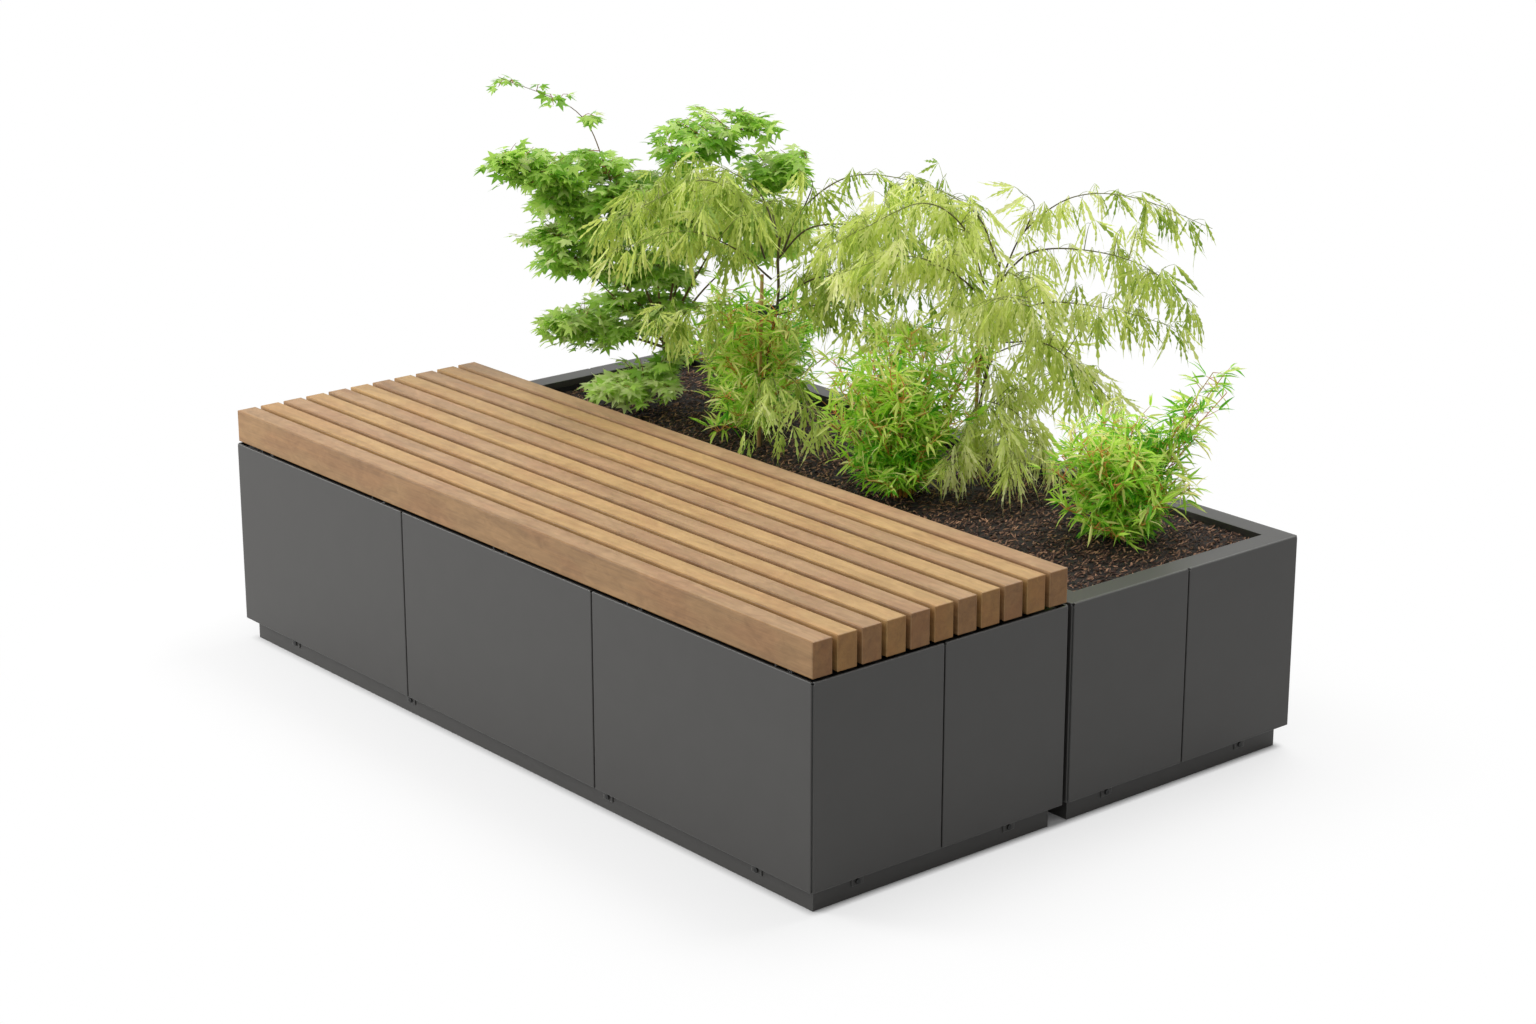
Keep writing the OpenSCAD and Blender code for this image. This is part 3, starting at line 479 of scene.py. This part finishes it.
class Growth:
    """Collects the twigs and leaves of one plant into one mesh.

    Its own frame has x to the right and y away, as one looks at the front right
    corner of the bench, and z up from the bark at its foot.
    """

    def __init__(self, node, foot, seed=0):
        turned = Matrix.Rotation(math.radians(50), 4, "Z")
        self.node = node
        self.place = Matrix.Translation((*foot, bed_high.z)) @ turned
        self.dice = random.Random(seed)
        self.points, self.faces, self.tones, self.skins = [], [], [], []
        self.wood = []

    def blade(self, form, root, ahead, up, size, tone):
        """A flat leaf: form holds its points, of length 1 along x, and its faces."""
        ahead = ahead.normalized()
        side = up.cross(ahead)
        side = side.normalized() if side.length > 1e-6 else Vector((0, 1, 0))
        top = ahead.cross(side)
        start = len(self.points)
        outline, fans = form
        self.points += [root + size * (x * ahead + y * side + z * top) for x, y, z in outline]
        self.faces += [tuple(start + k for k in fan) for fan in fans]
        self.tones += [min(1, max(0, tone))] * len(outline)
        self.skins += [1] * len(fans)

    def twig(self, path, thick, thin, tone=0.5, tip_tone=None, sides=5):
        """A closed stick along a path. Its radius goes from thick to thin, quickly at first."""
        tip_tone = tone if tip_tone is None else tip_tone
        start, rings = len(self.points), len(path)
        for i, p in enumerate(path):
            ahead = (path[min(i + 1, rings - 1)] - path[max(i - 1, 0)]).normalized()
            side = ahead.cross(Vector((0.3, 0.9, 0.1))).normalized()
            over = ahead.cross(side)
            share = i / (rings - 1)
            r = thin + (thick - thin) * (1 - share) ** 1.5
            self.tones += [tone + (tip_tone - tone) * share] * sides
            for k in range(sides):
                turn = 2 * math.pi * k / sides
                self.points.append(p + r * (math.cos(turn) * side + math.sin(turn) * over))
        for i in range(rings - 1):
            for k in range(sides):
                a, b = start + i * sides + k, start + i * sides + (k + 1) % sides
                self.faces.append((a, b, b + sides, a + sides))
        last = start + (rings - 1) * sides
        self.faces.append(tuple(start + k for k in reversed(range(sides))))
        self.faces.append(tuple(last + k for k in range(sides)))
        self.skins += [0] * ((rings - 1) * sides + 2)

    def limb(self, corners, thick, thin, step=0.015, tone=0.5, tip_tone=0.5):
        """A limb through corners in millimetres, from which shoots can start."""
        path = curve_through([metres(*corner) for corner in corners], step)
        self.twig(path, thick, thin, tone, tip_tone, sides=7)
        self.wood += path[1:]
        return path

    def nearest_wood(self, tip):
        """The limb point that a shoot to the tip would leave from, rather below it."""
        return min(self.wood, key=lambda p: (tip - p).length + 1.5 * max(0, p.z - tip.z - 0.01))

    def piece(self, name, finishes, slot):
        """The finished piece, which stands for the plant's CAD node if it has one."""
        placed = [self.place @ p for p in self.points]
        plant = new_piece(name, placed, self.faces, finishes, self.skins, self.tones)
        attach(plant, modules)
        if self.node:
            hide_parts(self.node)


def leaf_finish(name, colours, rough, thin=0.5, clear=1):
    """A leaf: a thin sheet with a slight wax gloss, through which some light comes.

    The share thin comes through, and is paler than the leaf where clear is below 1.
    """
    material = toned_finish(name, colours, rough)
    tree = material.node_tree
    shader = tree.nodes["Principled BSDF"]
    colour = shader.inputs["Base Color"].links[0].from_socket
    paler = add(tree, "Gamma", {"Color": colour, "Gamma": clear})
    through = add(tree, "BsdfTranslucent", {"Color": paler.outputs[0]})
    leaf = add(tree, "MixShader", {0: thin, 1: shader.outputs[0], 2: through.outputs[0]})
    tree.links.new(leaf.outputs[0], tree.nodes["Material Output"].inputs["Surface"])
    return material


# Half a leaf's outline as angle and reach from its middle, tip first, with the
# notches between the lobes. The blade droops away from the end of its stalk.
half_leaf = [
    (0, 1.0), (10, 0.66), (27, 0.38), (42, 0.58), (55, 0.88), (66, 0.60), (92, 0.34), (119, 0.52),
    (152, 0.18),
]
leaf_droop, stalk_long, stalk_half_wide = 0.18, 0.55, 0.012
lobes = [(-turn, r) for turn, r in reversed(half_leaf[1:])] + half_leaf
maple_outline = [(stalk_long, 0, 0.05)]
for turn, r in lobes:
    a = math.radians(turn)
    maple_outline.append((stalk_long + r * math.cos(a), r * math.sin(a), -leaf_droop * r * r))
maple_outline += [(0, stalk_half_wide, 0), (0, -stalk_half_wide, 0)]
maple_fans = [(0, k, k + 1) for k in range(1, len(lobes))] + [(0, len(lobes) + 1, len(lobes) + 2)]
maple_leaf = (maple_outline, maple_fans)
maple_trunk = [(0, 0, -24), (4, 2, 60), (0, 0, 130)]
maple_limbs = [
    ((0, 0, 130), (-60, 0, 300), (-110, 0, 470), (-165, 0, 580), (-310, -45, 655)),
    ((0, 0, 130), (-90, -10, 260), (-180, -30, 400), (-310, -50, 500)),
    ((0, 0, 130), (30, 0, 300), (70, 0, 450), (150, 10, 565)),
    ((0, 0, 130), (70, 20, 260), (150, 35, 380), (280, 45, 480)),
    ((0, 0, 130), (-10, -20, 260), (10, -30, 400), (30, -30, 470)),
    ((0, 0, 120), (-80, -20, 200), (-200, -30, 330)),
    ((0, 0, 120), (90, 40, 230), (230, 70, 340)),
    ((0, 0, 110), (-70, -30, 140), (-200, -50, 175)),
    ((0, 0, 60), (-30, -50, 60), (-110, -110, 45)),
    ((0, 0, 130), (30, 70, 240), (70, 170, 350)),
]
# Each leaf mass is its middle, its half sizes and how many twigs end in it, in mm.
maple_masses = [
    (-262, -40, 638, 74, 50, 12, 5), (-200, -15, 606, 60, 45, 14, 4), (-140, 10, 572, 74, 50, 16, 5),
    (-250, -40, 485, 108, 85, 44, 50), (-120, 30, 428, 132, 105, 64, 70), (95, 10, 540, 130, 95, 50, 38),
    (225, 40, 468, 88, 85, 48, 34), (20, -20, 400, 140, 110, 75, 80), (-180, -20, 322, 112, 90, 54, 58),
    (200, 60, 342, 105, 85, 75, 36), (-20, 30, 230, 98, 85, 72, 60), (-150, -30, 165, 100, 75, 56, 60),
    (-225, -30, 405, 75, 60, 36, 22), (-60, -80, 50, 104, 65, 28, 46), (60, 150, 342, 110, 85, 85, 30),
    (-10, -20, 110, 80, 60, 66, 34), (-70, -10, 290, 110, 70, 50, 30),
]
# Leaves on the sprigs above high_sprig are a quarter smaller, and none is meant to
# come nearer to the bark than leaf_clear. All of these are in metres.
high_sprig, leaf_clear = 0.555, 0.004
maple_leaf_size = (0.018, 0.031)
maple_green = leaf_finish("maple_leaf", ("#82b83a", "#c4e66e", "#f0f8bc"), rough=0.42)
maple_bark = toned_finish("young_maple_bark", ("#54432f", "#77603f", "#a05a42"), rough=0.7)
maple = Growth("broadleaf_maple", foot=(-0.590, 0.287), seed=5)
dice = maple.dice
maple.limb(maple_trunk, thick=0.0080, thin=0.0060)
for corners in maple_limbs:
    maple.limb(corners, thick=0.0034, thin=0.0005)
for *mass, twigs in maple_masses:
    middle_high, half_high = mass[2], mass[5]
    leaves = min(11, 1 + half_high // 4)
    for _ in range(twigs):
        tip = spot_in(dice, mass, 0.35)
        root = maple.nearest_wood(tip)
        twig = curve_through([root, root.lerp(tip, 0.5) + metres(0, 0, 6), tip], 0.012)
        if len(twig) < 3:
            continue
        way = Vector((tip.x - root.x, tip.y - root.y, 0)).normalized()
        maple.twig(twig, thick=0.0010, thin=0.0005, tone=0.85, sides=3)
        # Painted light and shade: leaves are lighter towards the top of their mass and near the foot,
        # and darker above 0.42 m.
        height = (tip.z * 1000 - middle_high) / half_high
        painted_light_by_height = 0.3 * max(0, 1 - tip.z / 0.3) - 1.2 * max(0, tip.z - 0.42)
        for k in range(leaves):
            spot = twig[max(1, len(twig) - 1 - (k + 1) // 2)]
            out_way = Matrix.Rotation((1 if k % 2 else -1) * dice.uniform(0.2, 1.7), 3, "Z") @ way
            droop = Vector((out_way.x, out_way.y, dice.uniform(-0.55, 0.25)))
            up = spread_about(dice, Vector((0, 0, 1)), 0.36)
            size = dice.uniform(*maple_leaf_size) * (0.75 if tip.z > high_sprig else 1)
            leaf_and_stalk = 1.6 * size
            if spot.z + leaf_and_stalk * droop.z < leaf_clear:
                droop.z = 0.05
            tone = dice.gauss(0.46, 0.24) + 0.2 * height + painted_light_by_height
            maple.blade(maple_leaf, spot, droop, up, size, tone)
maple.piece("broadleaf_maple_plant", [maple_bark, maple_green], "maple_foliage")

# Weeping maples: dark arching branches hung with finely cut, toothed leaves, pale
# yellow-green. Each is tied with a soft dark band to a cane beside its stem.
leaflet_outline = [(0, 0, 0)]
for x, half_wide, z in (
    (0.14, 0.012, 0), (0.30, 0.050, 0), (0.34, 0.015, -0.01), (0.52, 0.055, -0.02),
    (0.56, 0.015, -0.03), (0.73, 0.043, -0.06), (0.77, 0.012, -0.07),
):
    leaflet_outline += [(x, half_wide, z), (x, -half_wide, z)]
leaflet_outline.append((1, 0, -0.14))
leaflet_rib = [(0, 2, 1), (1, 2, 6, 5), (5, 6, 10, 9), (9, 10, 14, 13), (13, 14, 15)]
leaflet_teeth = [(1, 5, 3), (2, 4, 6), (5, 9, 7), (6, 8, 10), (9, 13, 11), (10, 12, 14)]
leaflet = (leaflet_outline, leaflet_rib + leaflet_teeth)
lace_trunk = [(0, 0, -24), (-1, 0, 79), (14, 0, 180), (32, 0, 277), (32, 0, 359), (36, 0, 400)]
# Each branch is the leaves at a point of it, the radius of its root and its corners,
# in mm. About leaf_share of those leaves are hung.
leaf_share = 0.72
lace_branches = [
    (1.5, 2.1, (32, 0, 359), (90, -15, 420), (183, -35, 430), (288, -50, 404), (387, -60, 331)),
    (1.6, 2.1, (32, 0, 277), (112, -40, 334), (232, -90, 334), (345, -110, 306)),
    (2.2, 2.1, (8, 0, 359), (-30, 0, 462), (-105, -20, 512), (-210, -40, 471), (-289, -50, 432)),
    (2.2, 2.1, (20, 0, 320), (-53, -50, 393), (-145, -110, 437), (-264, -130, 407)),
    (2.0, 2.1, (31, 0, 400), (-7, 50, 479), (-97, 80, 524), (-159, 100, 519)),
]
left_branches = [
    (0.9, 0.9, (8, 0, 130), (20, -60, 150), (34, -140, 128), (44, -190, 84)),
    (1.2, 0.9, (12, 0, 142), (60, -50, 140), (84, -110, 112), (104, -160, 74)),
    (1.2, 0.9, (8, 0, 130), (0, -60, 140), (-10, -130, 110), (-18, -170, 70)),
    (1.6, 1.0, (26, 0, 250), (110, -20, 275), (200, -40, 262), (280, -50, 215)),
    (1.3, 2.1, (40, 0, 370), (81, 20, 452), (166, 40, 506), (275, 60, 495), (412, 75, 442)),
    (1.5, 1.5, (81, 20, 452), (96, 10, 502), (69, 0, 528)),
    (1.5, 1.5, (31, 0, 400), (20, 60, 440), (5, 120, 440), (0, 180, 400)),
    (1.3, 1.3, (22, 0, 236), (-47, 10, 267), (-137, 0, 262), (-200, -10, 222)),
]
right_branches = [
    (2.4, 0.9, (8, 0, 130), (-6, -70, 150), (-30, -150, 130), (-60, -210, 80)),
    (2.4, 0.9, (8, 0, 130), (20, -80, 148), (40, -170, 128), (52, -240, 76)),
    (2.4, 0.9, (12, 0, 142), (60, -60, 140), (95, -120, 112), (124, -170, 70)),
    (1.4, 1.8, (40, 0, 370), (81, 10, 455), (166, 0, 519), (275, -20, 521), (410, -40, 470)),
    (1.5, 1.5, (81, 10, 455), (96, 10, 502), (69, 0, 528)),
    (2.0, 1.6, (43, 0, 251), (126, -30, 253), (204, -60, 191), (273, -80, 125)),
    (2.2, 1.0, (22, 0, 236), (-47, 20, 267), (-137, 40, 267), (-185, 50, 242)),
    (1.4, 1.4, (30, 0, 230), (90, 30, 240), (150, 60, 200), (200, 70, 150)),
    (1.5, 1.5, (32, 0, 330), (40, -60, 390), (60, -120, 400), (80, -170, 360)),
]
# Each mass is as on the broad-leaved maple, with the leaves at a point of its twigs.
lace_masses = [
    (-120, -20, 455, 168, 130, 72, 42, 1.35), (250, -20, 370, 130, 80, 50, 10, 1.1),
    (130, 0, 310, 95, 68, 60, 17, 1.1),
]
left_masses = [
    (240, 40, 490, 150, 80, 34, 6, 1.0), (0, 145, 410, 100, 65, 50, 20, 1.3),
    (-140, 0, 250, 90, 56, 30, 14, 1.0), (60, -25, 290, 70, 45, 55, 9, 1.1),
]
right_masses = [
    (250, -10, 492, 155, 75, 36, 6, 1.0), (45, -125, 365, 105, 70, 55, 20, 1.3),
    (150, 40, 175, 115, 85, 50, 18, 1.25), (-150, 30, 285, 92, 56, 20, 9, 1.0),
    (10, 10, 200, 50, 50, 70, 9, 1.0), (20, -150, 96, 80, 85, 18, 13, 1.3),
]
lace_green = leaf_finish("cut_maple_leaf", ("#88a83c", "#dbe97a", "#f8fabc"), rough=0.5, thin=0.42)
lace_bark = toned_finish("dark_maple_bark", ("#33291f", "#564a33", "#95a256"), rough=0.65)
# A leaf and its stalk have these lengths in metres, and no leaf ends behind rear_most.
lace_leaf_size, lace_stalk = (0.052, 0.094), (0.010, 0.030)
rear_gap = 0.015
rear_most = cad_box[1].y - rear_gap


def hang_leaves(plant, path, first, each, pale, painted_fringe_light):
    """Cut leaves along a branch, each of them five narrow toothed lobes on a thin stalk.

    They are painted lighter towards the top and, by the last argument, in the fringe just above the
    bark, and darker towards the right: painted light and shade.
    """
    dice = plant.dice
    for i in range(first, len(path)):
        spot = path[i]
        way = (spot - path[i - 1]).normalized()
        for _ in range(int(leaf_share * each + dice.random())):
            turn = dice.uniform(0, 2 * math.pi)
            out = Vector((math.cos(turn), math.sin(turn), 0)) + way * 0.7
            stalk = dice.uniform(*lace_stalk)
            rise = dice.uniform(-0.75, 0.6)
            middle = spot + stalk * (0.6 * out + Vector((0, 0, rise)))
            fall = (out * dice.uniform(0.15, 0.75) + Vector((0, 0, rise - 0.9))).normalized()
            size = dice.uniform(*lace_leaf_size)
            size = min(size, max(0.012, middle.z - 0.003))
            if (plant.place @ (middle + size * fall)).y > rear_most:
                continue
            bend = spot.lerp(middle, 0.5) + metres(0, 0, 2)
            plant.twig([spot, bend, middle], thick=0.0006, thin=0.0004, tone=1.0, sides=3)
            flat = fall.cross(spread_about(dice, Vector((0, 0, 0)), 1)).normalized()
            # Painted light and shade: lighter high up and in the low fringe, darker towards the right.
            tone = pale + dice.gauss(0.42, 0.2) + max(0.14, 0.6 * (spot.z - 0.33), painted_fringe_light - 3 * spot.z)
            tone -= 1.2 * max(0, spot.x - 0.1)
            for lobe in range(-2, 3):
                spread = lobe * 0.36 + dice.gauss(0, 0.12)
                sag = Vector((0, 0, -0.45 * abs(spread)))
                ahead = math.cos(spread) * fall + math.sin(spread) * flat + sag
                share = (1, 0.78, 0.5)[abs(lobe)] * dice.uniform(0.85, 1.1)
                face = spread_about(dice, fall.cross(flat), 0.5)
                plant.blade(leaflet, middle, ahead, face, size * share, tone + dice.gauss(0, 0.12))


def weeping_maple(node, foot, branches, masses, pale, painted_fringe_light, seed):
    """The plant: its stem, its arching branches and the twigs that fill its masses."""
    plant = Growth(node, foot, seed)
    plant.limb(lace_trunk, thick=0.0044, thin=0.0026)
    for each, thick, *corners in branches:
        path = plant.limb(corners, thick / 1000, thin=0.0005, step=0.009, tone=0.3, tip_tone=1.0)
        hang_leaves(plant, path, len(path) // 6 + 1, each, pale, painted_fringe_light)
    for *mass, twigs, each in masses:
        for _ in range(twigs):
            tip = spot_in(plant.dice, mass, 0.5)
            root = plant.nearest_wood(tip)
            top = root.lerp(tip, 0.55) + Vector((0, 0, 0.16 * (tip - root).length))
            path = curve_through([root, top, tip], 0.009)
            if len(path) > 3:
                plant.twig(path, thick=0.0010, thin=0.0005, tone=0.7, tip_tone=1.0, sides=4)
                hang_leaves(plant, path, max(1, len(path) // 3), each, pale, painted_fringe_light)
    plant.piece(node + "_plant", [lace_bark, lace_green], "weeping_maple_foliage")


# The cane is dry and split, about 7 mm thick, pushed into the soil beside the stem.
# The band is soft rubber, 15 mm high, and goes round cane and stem at tie_high. Their
# sizes are in mm.
dry_cane = toned_finish("dry_split_cane", ("#8a6a42", "#b58d5c", "#c9a676"), rough=0.6)
rubber = toned_finish("soft_rubber_band", ("#26302a", "#333f37", "#435046"), rough=0.55)
cane_joints, joint_long, cane_foot, cane_y = 5, 70, -20, -5
band_high, band_thick, band_half_wide, band_past, band_points = 15, 1.5, 7, 5, 28


def cane_x(z):
    """How far to the right the cane is at height z, as it leans a little."""
    return 0.02 * z - 4


def stake_and_tie(node, foot, tie_high):
    """The cane in its joints, and the oval band round it and the stem."""
    stake = Growth(None, foot)
    for k in range(cane_joints):
        ends = (cane_foot + joint_long * k, cane_foot + joint_long * (k + 1))
        joint = [metres(cane_x(z), cane_y, z) for z in ends]
        stake.twig(joint, thick=0.0038, thin=0.0034, tone=0.3 + 0.1 * k, sides=10)
    stake.piece(node + "_stake", [dry_cane], "golden_slat_wood")
    band = Growth(None, foot)
    (low_x, _, low_z), (high_x, _, high_z) = lace_trunk[2:4]
    stem_x = low_x + (high_x - low_x) * (tie_high - low_z) / (high_z - low_z)
    reach = (stem_x - cane_x(tie_high)) / 2 + band_past
    for out, z in ((0, 0), (band_thick, 0), (band_thick, band_high), (0, band_high)):
        for k in range(band_points):
            a = 2 * math.pi * k / band_points
            x = (cane_x(tie_high) + stem_x) / 2 + (reach + out) * math.cos(a)
            y = cane_y / 2 + (band_half_wide + out) * math.sin(a)
            band.points.append(metres(x, y, tie_high + z + 0.6 * math.sin(3 * a)))
    for ring in range(4):
        low, high = ring * band_points, (ring + 1) % 4 * band_points
        for k in range(band_points):
            after = (k + 1) % band_points
            band.faces.append((low + k, high + k, high + after, low + after))
    band.tones = [0.5] * len(band.points)
    band.skins = [0] * len(band.faces)
    band.piece(node + "_tie", [rubber], "black_plastic_liner")


for node, foot, branches, masses, pale, painted_fringe_light, tie_high, seed in (
    ("weeping_maple_left", (-0.240, 0.242), left_branches, left_masses, -0.22, 0.3, 254, 21),
    ("weeping_maple_right", (0.165, 0.417), right_branches, right_masses, 0.04, 0.55, 214, 22),
):
    weeping_maple(node, foot, lace_branches + branches, lace_masses + masses, pale, painted_fringe_light, seed)
    stake_and_tie(node, foot, tie_high)

# Dwarf bamboos: tufts of thin orange-brown canes that rise in a V from one root,
# each with short side shoots that carry narrow lance-shaped leaves of 24 to 46 mm.
lance_outline = [
    (0, 0, 0), (0.22, 0.066, 0.02), (0.22, 0, -0.01), (0.22, -0.066, 0.02),
    (0.6, 0.058, -0.03), (0.6, 0, -0.06), (0.6, -0.058, -0.03), (1, 0, -0.2),
]
lance_leaf = (lance_outline, [(0, 2, 1), (0, 3, 2), (1, 2, 5, 4), (2, 3, 6, 5), (4, 5, 7), (5, 6, 7)])
bamboo_green = leaf_finish("bamboo_leaf", ("#50ab16", "#baee40", "#fdf79a"), rough=0.4, clear=0.65)
cane_brown = toned_finish("young_bamboo_cane", ("#a8923c", "#d3924a", "#e07f42"), rough=0.5)
golden_share = 0.381966
short_canes = 18
shoot_long, lance_size = (0.010, 0.028), (0.024, 0.046)
# A cane bends through these shares of its reach outwards and of its height.
cane_bend = ((0.3, 0.34), (0.66, 0.72), (1, 1))


def bamboo_tips(dice, wide, high, canes):
    """Where the canes end: turn about the root, reach and height, spread evenly."""
    tips = []
    for k in range(canes):
        share = math.sqrt((k + 0.5) / canes)
        turn = 2 * math.pi * (k * golden_share + 0.03 * dice.random())
        rise = high * (1.0 - 0.25 * share**2) * dice.uniform(0.5, 1.0)
        tips.append((turn, wide / 2 * share * dice.uniform(0.6, 1.0), rise))
    for k in range(short_canes):
        turn = 2 * math.pi * (k * golden_share + 0.05 * dice.random())
        tips.append((turn, dice.uniform(0.03, 0.085), dice.uniform(0.03, 0.09)))
    return tips


def dwarf_bamboo(node, foot, wide, high, canes, extra, seed):
    """Canes in a V of this width and height, short ones at its foot, and extra tips."""
    clump = Growth(node, foot, seed)
    dice = clump.dice
    tips = bamboo_tips(dice, wide, high, canes)
    tips += [(math.atan2(y, x), math.hypot(x, y), z) for x, y, z in extra]
    for turn, reach, rise in tips:
        way = Vector((math.cos(turn), math.sin(turn), 0))
        corners = [way * min(0.022, 0.2 * reach) + metres(0, 0, -20)]
        for out_share, up_share in cane_bend:
            corners.append(way * out_share * reach + Vector((0, 0, up_share * rise)))
        path = curve_through(corners, 0.012)
        clump.twig(path, thick=0.0016, thin=0.0008, tone=dice.random(), sides=5)
        shoots = 1 if rise > high else 2
        # Leaves on canes taller than the tuft are darkened as painted shade.
        painted_sprig_shade = 0.5 if rise > high else 0
        bare = 3 if rise < 0.12 else 3 + len(path) // 6
        for spot in path[bare:]:
            # Painted shade and light: leaves are darker towards the middle of the tuft and lighter
            # towards its top.
            deep = 0.36 * (1 - min(1, math.hypot(spot.x, spot.y) / (0.36 * wide)))
            light = 0.22 * (spot.z / high - 0.5)
            for _ in range(shoots):
                side = Matrix.Rotation(dice.uniform(-math.pi, math.pi), 3, "Z") @ way
                lift = Vector((0, 0, dice.uniform(-0.1, 1.2)))
                shoot = spot + (side + lift).normalized() * dice.uniform(*shoot_long)
                clump.twig([spot, shoot], thick=0.0008, thin=0.0005, tone=dice.random(), sides=3)
                for _ in range(3):
                    hang = Vector((side.x, side.y, dice.uniform(-0.45, 1.15)))
                    hang = spread_about(dice, hang.normalized(), 0.45)
                    size = dice.uniform(*lance_size)
                    if shoot.z + hang.z * size < leaf_clear:
                        hang = Vector((hang.x, hang.y, abs(hang.z) * 0.3))
                    tone = dice.gauss(0.6, 0.33) + light - deep - painted_sprig_shade
                    up = spread_about(dice, Vector((0, 0, 1)), 0.5)
                    clump.blade(lance_leaf, shoot, hang, up, size, tone)
    clump.piece(node + "_plant", [cane_brown, bamboo_green], "bamboo_foliage")


# Extra cane tips: a tall sprig to the right, canes that lean forward past the stem of
# the left weeping maple, and low ones in front.
sprig = [
    (0.165, 0.015, 0.285), (0.13, 0.01, 0.23),
    (0.172, 0.0, 0.262), (0.15, 0.02, 0.292), (0.12, -0.01, 0.25),
]
low_front = [
    (-0.06, -0.09, 0.05), (-0.02, -0.11, 0.04), (0.03, -0.1, 0.06),
    (-0.1, -0.05, 0.07), (-0.12, -0.02, 0.13),
]
leaning_canes = 22
leaning = []
for k in range(leaning_canes):
    leaning.append((0.15 * (0.618 * k % 1) - 0.07, 0.03 * (0.381 * k % 1) - 0.215, 0.04 + 0.012 * k))
for node, foot, wide, high, canes, extra, seed in (
    ("dwarf_bamboo_left", (-0.370, 0.337), 0.290, 0.275, 48, leaning + sprig[:2], 31),
    ("dwarf_bamboo_middle", (0.155, 0.237), 0.290, 0.300, 50, low_front + sprig[:2], 32),
    ("dwarf_bamboo_right", (0.600, 0.347), 0.285, 0.245, 46, low_front + sprig, 33),
):
    dwarf_bamboo(node, foot, wide, high, canes, extra, seed)
